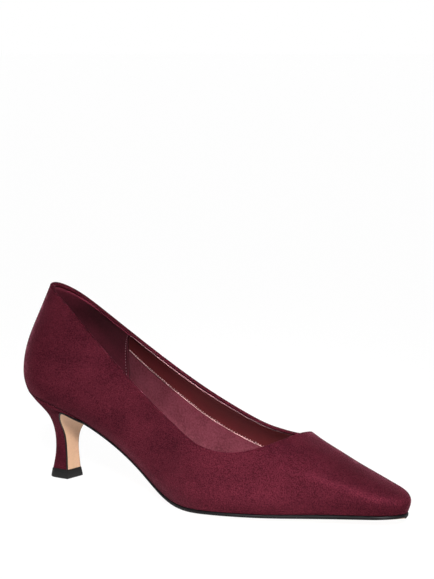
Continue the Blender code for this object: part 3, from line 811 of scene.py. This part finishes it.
# %% Facing and linings
SEAM_PLACE = 57.0              # where the heel lining's front seam meets the collar, on both sides
SEAM_LEAN = 0.09               # ribs that the seam moves forward for each millimetre down
SEAM_LAP = 4                   # ribs by which the heel lining covers what lies in front
FACING_TOP = 0.15              # facing's upper edge below the end of the roll
FACING_DEPTH = (0.95, 1.55)    # of its hidden and its shown face, and so for the linings
FACING_BULGE = 0.5             # how far the band stands off the wall along its middle
FACING_START = 1.2             # where its plain face starts, below the bead
FACING_LAP = 2.0               # how far it runs on under the lining
FACING_ROWS, FACING_BACK_ROWS = 18, 4
# Painted shade under the roll at the band's top and painted light towards its foot: tone from top to foot
FACING_LIGHT_AND_SHADE = ((0.0, -0.3), (0.12, -0.45), (0.35, -0.2), (0.6, 0.1), (0.8, 0.35), (1.0, 0.2))
# The bead: distance down and rise off the band. Towards the throat it flattens out and its painted highlight
# dims
BEAD_LINE = ((0.0, 0.0), (0.07, 0.3), (0.3, 0.5), (0.58, 0.5), (0.82, 0.3), (0.95, 0.0))
BEAD_FADE = ((105.0, 1.0), (145.0, 0.55))
BEAD_HIGHLIGHT_DIM = 1.5
LINING_DEPTH = (1.6, 2.1)
# Breadth of the lining's cut edge along the collar, and its tone: dark at the back, where only stitches show,
# which also lays a line of painted shade on the lining beside it
RAW_EDGE_ROWS = ((57.0, 0.06), (75.0, 0.1), (92.0, 0.25), (183.0, 0.35))
RAW_EDGE_TONES = ((80.0, -0.65), (96.0, 0.0))
# Painted shade: the lining is darker at both ends
LINING_SHADE_TONES = ((57.0, -0.3), (75.0, -0.1), (95.0, 0.0), (150.0, 0.0), (180.0, -0.1))
# Rounded top of the heel lining: distance down and depth back, then the rows below it, then the tone by
# distance down: a painted highlight pale at the top, and painted light again lower down
HEEL_RIM = ((0.0, 0.5), (0.2, 0.1), (0.8, -0.05))
HEEL_TOP_ROWS = (1.6, 2.6, 4.0)
HEEL_FACE_START = 6.0
HEEL_LIGHT_TONES = ((0.0, 2.6), (0.7, 2.2), (1.6, 0.9), (3.0, 0.5), (12.0, -0.05), (17.0, 0.0), (24.0, 0.35))
HEEL_LINING_DEPTH = (0.95, 2.35)
LINING_STOP = 0.6              # how far above the upper's lower edge the linings end
LINING_ROWS, HEEL_LINING_ROWS, LINING_BACK_ROWS = 26, 28, 8
HIDDEN_SINK = 0.4              # ends under the heel lining lie deeper, so that they don't press through
# Distance of the lining's upper edge below the collar
EDGE_ROWS = (
    (50.0, 16.0), (72.0, 14.2), (86.0, 13.5), (103.0, 14.5), (125.0, 15.5), (160.0, 14.5), (183.0, 12.0))

collar_place = wall[0, :, 0]
outer_seam = int(np.argmin(np.abs(collar_place[:TOE_COLUMN] - SEAM_PLACE)))
inner_seam = TOE_COLUMN + int(np.argmin(np.abs(collar_place[TOE_COLUMN:] - SEAM_PLACE)))
front_columns = np.arange(outer_seam - SEAM_LAP, inner_seam + SEAM_LAP + 1)
back_columns = np.arange(inner_seam, outer_seam + COLUMNS + 1)
back_lean = SEAM_LEAN * np.linspace(-1, 1, len(back_columns))
lining_edge = curve(*zip(*EDGE_ROWS))(collar_place[front_columns])
cut_breadth = np.interp(collar_place[front_columns], *zip(*RAW_EDGE_ROWS))
under_seam = np.clip(np.maximum(outer_seam - front_columns, front_columns - inner_seam) / SEAM_LAP, 0, 1)
sink = HIDDEN_SINK * under_seam


def facing_profile():
    hidden, shown = FACING_DEPTH
    top = fold_of[front_columns] + FACING_TOP
    fade = np.interp(collar_place[front_columns], *zip(*BEAD_FADE))
    bead = [(top, hidden)] + [(top + run * fade, shown - sink + rise * fade) for run, rise in BEAD_LINE]
    bulge = FACING_BULGE * np.sin(np.linspace(0, np.pi, FACING_ROWS))
    start = top + FACING_START
    foot = lining_edge + FACING_LAP
    down = [(run, shown - sink + out) for run, out in zip(between(start, foot, FACING_ROWS), bulge)]
    back = [(run, hidden) for run in between(foot, start, FACING_BACK_ROWS)]
    finish = [0] + [1] * (len(BEAD_LINE) - 1) + [0] * (len(down) + len(back) + 1)
    tone = [BEAD_HIGHLIGHT_DIM * (fade - 1)] * len(bead)
    tone += [0 * fade + shade for shade in np.interp(np.linspace(0, 1, len(down)), *zip(*FACING_LIGHT_AND_SHADE))]
    tone += [0 * fade] * len(back)
    return bead + down + back, finish, np.transpose(tone)


def lining_profile():
    hidden, shown = LINING_DEPTH
    foot = wall_length[front_columns] - LINING_STOP
    down = [(run, shown - sink) for run in between(lining_edge + cut_breadth, foot, LINING_ROWS)]
    up = [(run, hidden - sink) for run in between(foot, lining_edge, LINING_BACK_ROWS)]
    tone_of_rib = np.interp(collar_place[front_columns], *zip(*LINING_SHADE_TONES))
    tone = np.tile(tone_of_rib, (len(down) + len(up), 1)).T
    tone[:, 0] = tone[:, -1] = np.interp(collar_place[front_columns], *zip(*RAW_EDGE_TONES))
    return down + up, [0] * (len(down) + len(up) - 1) + [1], tone


def heel_lining_profile():
    hidden, shown = HEEL_LINING_DEPTH
    ribs = back_columns % COLUMNS
    top = fold_of[ribs] + FACING_TOP
    foot = wall_length[ribs] - LINING_STOP
    inner = np.maximum(shown, 2 * roll_of[ribs])
    rim = [(top + run, inner - back) for run, back in HEEL_RIM]
    down = [(top + run, inner) for run in HEEL_TOP_ROWS]
    down += [(run, inner) for run in between(top + HEEL_FACE_START, foot, HEEL_LINING_ROWS)]
    up = [(run, hidden) for run in between(foot, top, LINING_BACK_ROWS)]
    tone = [np.interp(run - top, *zip(*HEEL_LIGHT_TONES)) for run, _ in rim + down + up]
    return rim + down + up, np.transpose(tone)


facing_line, facing_steps, facing_light_and_shade = facing_profile()
facing_band = body_of_rings("facing_band", strip_rings(front_columns, facing_line),
                            [facing_leather, bead_highlight_leather], finish_of_step=facing_steps)
set_tone(facing_band, facing_light_and_shade)
lining_line, lining_steps, lining_shade_tone = lining_profile()
wall_lining = body_of_rings("wall_lining", strip_rings(front_columns, lining_line),
                            [wall_lining_cloth, raw_edge], finish_of_step=lining_steps)
set_tone(wall_lining, lining_shade_tone)
heel_line, heel_light_tone = heel_lining_profile()
heel_lining = body_of_rings(
    "heel_lining", strip_rings(back_columns, heel_line, back_lean), [heel_lining_cloth])
set_tone(heel_lining, heel_light_tone)
print("heel lining from rib", inner_seam, "round the back to rib", outer_seam)

# %% [markdown]
# ## Stitches
# A stitch row is the same small thread, repeated at one pitch along a path. That is a job for Geometry
# Nodes: the tree takes a path, resamples it at the pitch and sets a rounded thread on every point, laid
# along the path and turned to face off the surface. A little random size keeps the row from looking
# printed. The result is made a plain mesh.

# %% Stitch tree
STITCH_SEED = 7
STITCH_PITCH = 1.7


def stitch_tree():
    tree = bpy.data.node_groups.new("stitch_row", "GeometryNodeTree")
    tree.interface.new_socket("Path", in_out="INPUT", socket_type="NodeSocketGeometry")
    for name in ("Pitch", "Length", "Width", "Height", "Slant"):
        tree.interface.new_socket(name, in_out="INPUT", socket_type="NodeSocketFloat")
    tree.interface.new_socket("Finish", in_out="INPUT", socket_type="NodeSocketMaterial")
    tree.interface.new_socket("Stitches", in_out="OUTPUT", socket_type="NodeSocketGeometry")
    given = add_node(tree, "NodeGroupInput").outputs
    path = add_node(tree, "GeometryNodeMeshToCurve", {"Mesh": given["Path"]})
    stops = add_node(tree, "GeometryNodeResampleCurve", {
        "Curve": path.outputs[0], "Length": given["Pitch"]}, mode="LENGTH")
    tangent = add_node(tree, "GeometryNodeInputTangent")
    facing = add_node(tree, "GeometryNodeInputNamedAttribute", {"Name": "facing"}, data_type="FLOAT_VECTOR")
    laid = add_node(tree, "FunctionNodeAlignRotationToVector", {"Vector": tangent.outputs[0]}, axis="X")
    turned = add_node(tree, "FunctionNodeAlignRotationToVector", {
        "Rotation": laid.outputs[0], "Vector": facing.outputs["Attribute"]}, axis="Z", pivot_axis="X")
    ball = add_node(tree, "GeometryNodeMeshUVSphere", {"Segments": 8, "Rings": 6, "Radius": 0.5})
    size = add_node(tree, "ShaderNodeCombineXYZ", {0: given["Length"], 1: given["Width"], 2: given["Height"]})
    slant = add_node(tree, "ShaderNodeCombineXYZ", {2: given["Slant"]})
    bar = add_node(tree, "GeometryNodeTransform", {
        "Geometry": ball.outputs["Mesh"], "Scale": size.outputs[0], "Rotation": slant.outputs[0]})
    vary = add_node(tree, "FunctionNodeRandomValue", {
        "Min": (0.9,) * 3, "Max": (1.1,) * 3, "Seed": STITCH_SEED}, data_type="FLOAT_VECTOR")
    placed = add_node(tree, "GeometryNodeInstanceOnPoints", {
        "Points": stops.outputs[0], "Instance": bar.outputs[0], "Rotation": turned.outputs[0],
        "Scale": vary.outputs["Value"]})
    real = add_node(tree, "GeometryNodeRealizeInstances", {"Geometry": placed.outputs[0]})
    smooth = add_node(tree, "GeometryNodeSetShadeSmooth", {"Geometry": real.outputs[0]})
    dressed = add_node(tree, "GeometryNodeSetMaterial", {
        "Geometry": smooth.outputs[0], "Material": given["Finish"]})
    add_node(tree, "NodeGroupOutput", {"Stitches": dressed.outputs[0]})
    return tree


def stitch_row(name, points, facing, finish, stitch):
    """Plain mesh of stitches along a path of points; facing points off the surface at each of them.

    A stitch is its length, width and height, and its slant in degrees.
    """
    mesh = bpy.data.meshes.new(name + "_path")
    edges = [(i, i + 1) for i in range(len(points) - 1)]
    mesh.from_pydata(((points + SHIFT) * MM).tolist(), edges, [])
    directions = mesh.attributes.new("facing", "FLOAT_VECTOR", "POINT")
    directions.data.foreach_set("vector", facing.astype(np.float32).ravel())
    path = bpy.data.objects.new(name + "_path", mesh)
    bpy.context.scene.collection.objects.link(path)
    nodes = path.modifiers.new("stitches", "NODES")
    nodes.node_group = STITCHES
    sockets = {item.name: item.identifier for item in STITCHES.interface.items_tree if item.in_out == "INPUT"}
    *sizes, slant = stitch
    for size, value in zip(("Pitch", "Length", "Width", "Height"), (STITCH_PITCH, *sizes)):
        nodes[sockets[size]] = value * MM
    nodes[sockets["Slant"]] = np.radians(slant)
    nodes[sockets["Finish"]] = finish
    evaluated = path.evaluated_get(bpy.context.evaluated_depsgraph_get())
    plain = bpy.data.objects.new(name, bpy.data.meshes.new_from_object(evaluated))
    bpy.context.scene.collection.objects.link(plain)
    bpy.data.objects.remove(path)
    return plain


STITCHES = stitch_tree()
print("tree", STITCHES.name, "has", len(STITCHES.nodes), "nodes")

# %% Stitch rows
# Length, width, height and slant
SLANTED = (1.15, 0.5, 0.5, 65.0)
DOTTED = (1.0, 0.65, 0.65, 0.0)
HOLE = (0.85, 0.8, 0.2, 0.0)
SEAM = (1.1, 0.4, 0.3, 0.0)
DOTTED_TO = 88.0               # behind this place the edge's stitches are short and show as dots
EDGE_SET, EDGE_PROUD = 0.45, 0.2  # how far they lie above the lining's edge, and stand off the facing
HOLE_SET, HOLE_PROUD = 1.4, 0.05  # the same for their needle holes
SEAM_SET_BACK = 0.45           # ribs between the heel lining's seam and its stitches
SEAM_TOP = 1.5                 # where they start below the fold
SEAM_SHARE = 0.8               # share of the wall's height down to which they run
SEAM_POINTS = 40


def inward(columns, distance):
    """Direction into the shoe at places on the wall."""
    return on_wall(columns, distance, 1.0) - on_wall(columns, distance, 0.0)


edge_places = on_wall(front_columns, lining_edge - EDGE_SET, FACING_DEPTH[1] + EDGE_PROUD - sink)
hole_places = on_wall(front_columns, lining_edge - HOLE_SET, FACING_DEPTH[1] + HOLE_PROUD - sink)
edge_facing = inward(front_columns, lining_edge)
slanted = np.flatnonzero(collar_place[front_columns] > DOTTED_TO)
first, past = slanted[0], slanted[-1] + 1
edge_stitches = []
for part, span, stitch in (("outer", slice(0, first), DOTTED), ("front", slice(first, past), SLANTED),
                           ("inner", slice(past, None), DOTTED)):
    edge_stitches.append(stitch_row(
        f"lining_edge_stitches_{part}", edge_places[span], edge_facing[span], thread, stitch))
edge_holes = stitch_row("lining_edge_needle_holes", hole_places, edge_facing, needle_hole, HOLE)
seam_stitches = []
for side, column, forward in (("lateral", outer_seam, 1), ("medial", inner_seam, -1)):
    runs = np.linspace(fold_of[column] + SEAM_TOP, SEAM_SHARE * wall_length[column], SEAM_POINTS)
    places = column + forward * (SEAM_LEAN * runs - SEAM_SET_BACK)
    seam_stitches.append(stitch_row(
        f"heel_seam_stitches_{side}", on_wall(places, runs, HEEL_LINING_DEPTH[1]), inward(places, runs),
        dark_thread, SEAM))
print("stitch faces:", [len(o.data.polygons) for o in (*edge_stitches, edge_holes, *seam_stitches)])

# %% [markdown]
# ## Sock
# The insole board is covered by a sock of the same lining. It lies on the bottom of the last, so it
# takes the table's own curve from heel to ball. Its edge is rounded where it meets the walls.

# %% Sock on the insole
SOCK_INSET = 2.5               # from the featherline to the board's lower edge
SOCK_THICK = 3.0
SOCK_ROUND = 0.7               # radius of its rounded edge
SOCK_CORNER = 0.3              # share of it by which the middle of the round lies in from the corner
SOCK_LEAN = 0.8                # share of the wall's flare that the edge has under the round
SOCK_RINGS = 110
SOCK_POINTS = 21
TIP_MARGIN = 0.25              # how far the last ring stays off the very tip


def sock_rings():
    lateral, start, end = edge_of("lateral", SOCK_INSET)
    medial = edge_of("medial", SOCK_INSET)[0]
    middle = (start + end) / 2
    reach = (end - start) / 2 - TIP_MARGIN
    rings = []
    for place in middle - reach * np.cos(np.linspace(0, np.pi, SOCK_RINGS)):
        base = float(section["feather"](place))
        flare = float(section["swell"](place) * (1 - (1 - SOCK_THICK / section["wall"](place)) ** 2))
        left = float(lateral(place))
        right = float(medial(place))
        round_off = min(SOCK_ROUND, (right - left) / 4)
        top = base + SOCK_THICK
        corner = SOCK_CORNER * round_off
        ring = [(left, base), (right, base), (right + SOCK_LEAN * flare, top - round_off)]
        ring += [(right + flare - corner, top - corner)]
        flat = np.linspace(right + flare - round_off, left - flare + round_off, SOCK_POINTS)
        ring += [(y, top) for y in flat]
        ring += [(left - flare + corner, top - corner), (left - SOCK_LEAN * flare, top - round_off)]
        rings.append([(place, y, z) for y, z in ring])
    return rings


sock = body_of_rings("sock", sock_rings(), [wall_lining_cloth])
print("sock:", len(sock.data.polygons), "faces")

# %% [markdown]
# ## Heel
# The heel is a moulded core covered in the same suede. It starts as a cup round the heel seat, draws in
# to a slim neck and flares a little at its foot. It could be turned from one profile, but its back, sides
# and breast all curve in their own way. So its sections come from the heel's own table, at even steps down
# the breast.

# %% Heel cover
SEAT_FRONT = 51.0              # front of the heel's thin lip, where the sole meets the upper
SEAT_POWER = 2.2               # squareness of the seat's round back
CUP_RIM = 2.2                  # breadth of the cup's rim inside the featherline
RIM_SHADE_TONES = (-0.8, -0.8, -0.2)  # painted shade where the suede tucks in at the rim: tone of the first rings
SEAT_GAP = 0.05                # the dressed pieces nearly close the clearance of the solids
HEEL_FOOT = 5.35               # height of the joint with the top piece
HEEL_LEVELS = 64
RING_POINTS = 81


def round_back(front, back, half, power, count):
    """Half superellipse in plan, from the near front corner round the back to the far one."""
    turn = np.linspace(-np.pi / 2, np.pi / 2, count)
    x = front - (front - back) * np.abs(np.cos(turn)) ** (2 / power)
    y = half * np.sign(np.sin(turn)) * np.abs(np.sin(turn)) ** (2 / power)
    x[[0, -1]] = front
    y[count // 2] = 0.0
    return x, y


def heel_levels(gap):
    """The heel's table with the seat as its first row, read at even steps down the breast line."""
    edge, height, back = seat_edge("lateral")
    half = -edge(SEAT_FRONT)
    seat = (SEAT_FRONT, height(SEAT_FRONT) - gap, back, height(back) - gap, half, SEAT_POWER, 1.0)
    table = columns_of(HEEL_COLUMNS, (seat,) + HEEL_ROWS)
    run = running_length(table["front"], table["front_height"])
    stops = np.linspace(0, run[-1], HEEL_LEVELS)
    return {name: curve(run, table[name])(stops) for name in HEEL_COLUMNS}


def cup_floor():
    """Ring inside the rim of the heel's cup, at the height of the last's bottom."""
    lateral, back, _ = edge_of("lateral", CUP_RIM)
    medial = edge_of("medial", CUP_RIM)[0]
    x, y = round_back(SEAT_FRONT, back, 1.0, SEAT_POWER, RING_POINTS)
    floor_y = np.where(y < 0, lateral(x), medial(x))
    floor_y[RING_POINTS // 2] = 0.0
    return np.stack([x, floor_y, section["feather"](x) - SEAT_GAP], 1)


def heel_rings():
    lateral, seat_height, seat_back = seat_edge("lateral")
    medial = seat_edge("medial")[0]
    seat_z = seat_height(np.linspace(SEAT_FRONT, seat_back, LINE_SAMPLES))
    seat_rise = (seat_z - seat_z[0]) / (seat_z[-1] - seat_z[0])
    levels = heel_levels(SEAT_GAP)
    rings = [cup_floor()]
    for i in range(HEEL_LEVELS):
        level = {name: values[i] for name, values in levels.items()}
        x, y = round_back(level["front"], level["back"], level["half"], level["power"], RING_POINTS)
        back_share = (level["front"] - x) / (level["front"] - level["back"])
        rise = np.interp(back_share, np.linspace(0, 1, LINE_SAMPLES), seat_rise)
        rise = back_share + (rise - back_share) * level["seat"]
        z = level["front_height"] + (level["back_height"] - level["front_height"]) * rise
        place = level["front"] - (level["front"] - seat_back) * back_share
        narrowed = level["half"] / -lateral(level["front"])
        seat_y = np.where(y < 0, lateral(place), medial(place)) * narrowed
        seat_y[RING_POINTS // 2] = 0.0
        rings.append(np.stack([x, y + (seat_y - y) * level["seat"], z], 1))
    foot = rings[-1].copy()
    foot[:, 2] = HEEL_FOOT
    return rings + [foot]


cup_rings = heel_rings()
heel_cover = body_of_rings("heel_cover", cup_rings, [suede])
rim_shade_tone = np.zeros((len(cup_rings), RING_POINTS))
rim_shade_tone[:len(RIM_SHADE_TONES)] = np.reshape(RIM_SHADE_TONES, (-1, 1))
set_tone(heel_cover, rim_shade_tone)
print("heel_cover:", len(heel_cover.data.polygons), "faces")

# %% [markdown]
# ## Outsole
# The sole is one piece of leather, from the toe to the heel and down the heel's breast. Its bottom is
# tan. Its edge, and a hair of the bottom beside it, is painted black, so the paint is a second finish on
# the same body.

# %% Outsole with painted edge
SOLE_REVEAL = 0.4              # how far the sole's edge stands out past the upper
SOLID_GAP = 0.3                # clearance of the solids
FLAP_THICK = 1.0               # sole leather where it turns down the heel breast
FLAP_DRAW = 4                  # how soon the flap draws in from the sole's breadth to the heel's
LIP_RUN = 2.5                  # length over which the sole steps from the upper to the lip
SOLE_RINGS = 120
PAINT_BORDER = 0.45            # how far the edge ink runs onto the bottom
# Painted light where the flap bends down the breast, against the shade under the sole: rings past the sole's
# last one, and tone
FLAP_PAINTED_LIGHT = ((-8, 0.0), (4, 0.45), (14, 0.5), (30, 0.1), (45, 0.0))
# Rounded edge from top to bottom, in shares of the paint's border and of the thickness
EDGE_LINE = ((0.9, 0.0), (0.35, 0.06), (0.08, 0.2), (0.0, 0.42), (0.05, 0.66), (0.3, 0.88), (0.7, 0.98))
BOTTOM_SHARES = np.concatenate([[-1.0], np.linspace(-0.97, 0.97, 23), [1.0]])


def sole_section(left, right, drop):
    """Section across the sole: sideways place, depth as a share of its thickness, and extra depth.

    drop gives the crown's extra depth at a share of the half breadth.
    """
    middle = (left + right) / 2
    half = (right - left) / 2
    inset = min(PAINT_BORDER, half / 3)
    bottom = [(middle + (half - inset) * share, 1.0, drop(share)) for share in BOTTOM_SHARES]
    near = [(left + inset * share, down, 0.0) for share, down in EDGE_LINE]
    far = [(right - inset * share, down, 0.0) for share, down in EDGE_LINE[::-1]]
    return near + bottom + far


SOLE_STEPS = [1] * len(EDGE_LINE) + [0] * (len(BOTTOM_SHARES) - 1) + [1] * (len(EDGE_LINE) + 1)


def sole_rings():
    lateral, _, tip = edge_of("lateral", -SOLE_REVEAL)
    medial = edge_of("medial", -SOLE_REVEAL)[0]
    start = SEAT_FRONT + LIP_RUN
    rings = []
    for place in start + (tip - TIP_MARGIN - start) * np.sin(np.linspace(np.pi / 2, 0.0, SOLE_RINGS)):
        top = float(section["feather"](place)) - SEAT_GAP
        edge = float(section["sole"](place)) + SOLID_GAP - SEAT_GAP
        crown = float(section["crown"](place))
        left, right = float(lateral(place)), float(medial(place))
        line = sole_section(left, right, lambda share: crown * (1 - share ** 2))
        rings.append([(place, y, max(top - edge * down - extra, 0.0)) for y, down, extra in line])
    return rings + flap_rings(-float(lateral(SEAT_FRONT)), float(medial(SEAT_FRONT)))


def flap_rings(near_start, far_start):
    """Rings of the flap down the heel breast, square to its line and a gap off the heel."""
    levels = heel_levels(SOLID_GAP)
    line = np.stack([levels["front"], levels["front_height"]], 1)
    along = np.gradient(line, axis=0)
    along /= np.linalg.norm(along, axis=1)[:, None]
    outward = np.stack([-along[:, 1], along[:, 0]], 1)
    narrowing = np.linspace(1, 0, HEEL_LEVELS) ** FLAP_DRAW
    rings = []
    for i in range(HEEL_LEVELS):
        near = levels["half"][i] + (near_start - levels["half"][0]) * narrowing[i]
        far = levels["half"][i] + (far_start - levels["half"][0]) * narrowing[i]
        inner = line[i] + outward[i] * SOLID_GAP
        section_line = sole_section(-near, far, lambda share: 0.0)
        ring = [(*(inner + outward[i] * FLAP_THICK * down), y) for y, down, _ in section_line]
        rings.append([(x, y, z) for x, z, y in ring])
    foot = [(x, y, HEEL_FOOT) for x, y, _ in rings[-1]]
    return rings + [foot]


outsole_rings = np.array(sole_rings())
outsole_dressed = body_of_rings("outsole_dressed", outsole_rings, [sole_leather, edge_ink],
                                finish_of_step=SOLE_STEPS, cap_finish=1)
flap_painted_light = np.interp(np.arange(len(outsole_rings)) - SOLE_RINGS, *zip(*FLAP_PAINTED_LIGHT))
set_tone(outsole_dressed, np.repeat(flap_painted_light, outsole_rings.shape[1]))
print("outsole_dressed:", len(outsole_dressed.data.polygons), "faces")

# %% [markdown]
# ## Top piece
# The heel stands on a small block of hard rubber. It is wider at the floor than at the heel, nearly
# square in plan, with its edges just broken.

# %% Top piece
TOP_PIECE_COLUMNS = ("height", "front", "back", "half", "power")
TOP_PIECE_ROWS = (
    (5.3, 27.2, 14.9, 6.3, 5.0),
    (5.0, 27.5, 14.6, 6.6, 5.0),
    (0.8, 28.2, 13.9, 7.1, 5.0),
    (0.25, 28.15, 13.95, 7.05, 5.0),
    (0.0, 27.9, 14.2, 6.8, 5.0),
)


def top_piece_rings():
    rings = []
    for row in TOP_PIECE_ROWS:
        level = dict(zip(TOP_PIECE_COLUMNS, row))
        x, y = round_back(level["front"], level["back"], level["half"], level["power"], RING_POINTS)
        rings.append(np.stack([x, y, np.full_like(x, level["height"])], 1))
    return rings


top_piece_rubber = body_of_rings("top_piece_rubber", top_piece_rings(), [heel_rubber])
print("top_piece_rubber:", len(top_piece_rubber.data.polygons), "faces")

# %% [markdown]
# ## Joining the pieces to the solids
# Five pieces stand for the five solids, and the linings and stitches ride along. Nothing on this shoe
# moves by itself, so there is one body.

# %% Ride and replace
STANDS_FOR = (
    (upper_suede, "upper", "suede"),
    (sock, "insole", "sock"),
    (outsole_dressed, "outsole", "sole_leather"),
    (heel_cover, "heel", "heel_cover"),
    (top_piece_rubber, "top_piece", "top_piece"),
)
ADDED = (facing_band, wall_lining, heel_lining, *edge_stitches, edge_holes, *seam_stitches)
for piece, node, slot in STANDS_FOR:
    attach(piece, "root")
    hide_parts(node)
for piece in ADDED:
    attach(piece, "root")
print("pieces:", [piece.name for piece, _, _ in STANDS_FOR] + [piece.name for piece in ADDED])

# %% [markdown]
# ## Floor and light
# The shoe was photographed on white. A plain pale floor that glows a little, like a light table, stays
# nearly white under the shoe and leaves only a faint shadow. White walls stand all round, and the ceiling
# is dimmer, so that the nap keeps its depth. A narrow key light ahead of the toe, on the camera's side,
# makes the front a little brighter than the heel. A large weak one hangs above and reaches the linings.

# %% Studio
FLOOR_SIZE = 60.0              # metres
FLOOR_DROP = 0.0002            # the floor lies a hair below the sole, so that no two faces share a plane
CEILING = 0.35                 # strength of the ceiling, where the walls have 1
CEILING_SPAN = (0.04, 0.12)    # upward part of the direction where the wall ends and the ceiling starts
# Place and target in metres, size in metres, power in watts, spread in degrees
LIGHTS = {
    "key": ((0.85, -1.15, 0.75), (0.035, -0.03, 0.02), 0.3, 1.0, 17.0),
    "top": ((0.2, 0.2, 1.6), (0.0, 0.0, 0.05), 1.4, 2.0, 180.0),
}


def pale_floor():
    # Frosted glass lit from below: white and even, with hardly a reflection
    finish, _, _ = new_finish("pale_light_table", {
        "Base Color": linear("#4a4a4a"), "Emission Color": linear("#ffffff"), "Emission Strength": 0.95,
        "Roughness": 0.9, "Specular IOR Level": 0.1})
    bpy.ops.mesh.primitive_plane_add(size=FLOOR_SIZE, location=(0.0, 0.0, -FLOOR_DROP))
    floor = bpy.context.object
    floor.name = "floor"
    floor.data.materials.append(finish)


def soft_light(name, place, target, size, power, spread):
    """Square area light at a place, aimed at a target. It fans out by the spread."""
    lamp = bpy.data.lights.new(name, "AREA")
    lamp.size = size
    lamp.energy = power
    lamp.spread = np.radians(spread)
    light = bpy.data.objects.new(name, lamp)
    light.location = place
    aim = Vector(target) - light.location
    light.rotation_mode = "QUATERNION"
    light.rotation_quaternion = aim.to_track_quat("-Z", "Y")
    bpy.context.scene.collection.objects.link(light)


def white_studio():
    """White walls all round, dimmed to the ceiling's strength overhead."""
    world = bpy.data.worlds.new("white_studio")
    world.use_nodes = True
    tree = world.node_tree
    background = tree.nodes["Background"]
    background.inputs["Color"].default_value = (1.0, 1.0, 1.0, 1.0)
    direction = add_node(tree, "ShaderNodeTexCoord").outputs["Generated"]
    height = add_node(tree, "ShaderNodeSeparateXYZ", {0: direction}).outputs["Z"]
    dimmed = add_node(tree, "ShaderNodeMapRange", {
        "Value": height, "From Min": CEILING_SPAN[0], "From Max": CEILING_SPAN[1],
        "To Min": 1.0, "To Max": CEILING})
    tree.links.new(dimmed.outputs[0], background.inputs["Strength"])
    bpy.context.scene.world = world


pale_floor()
for name, settings in LIGHTS.items():
    soft_light(name, *settings)
white_studio()
bpy.context.scene.view_settings.view_transform = "Standard"
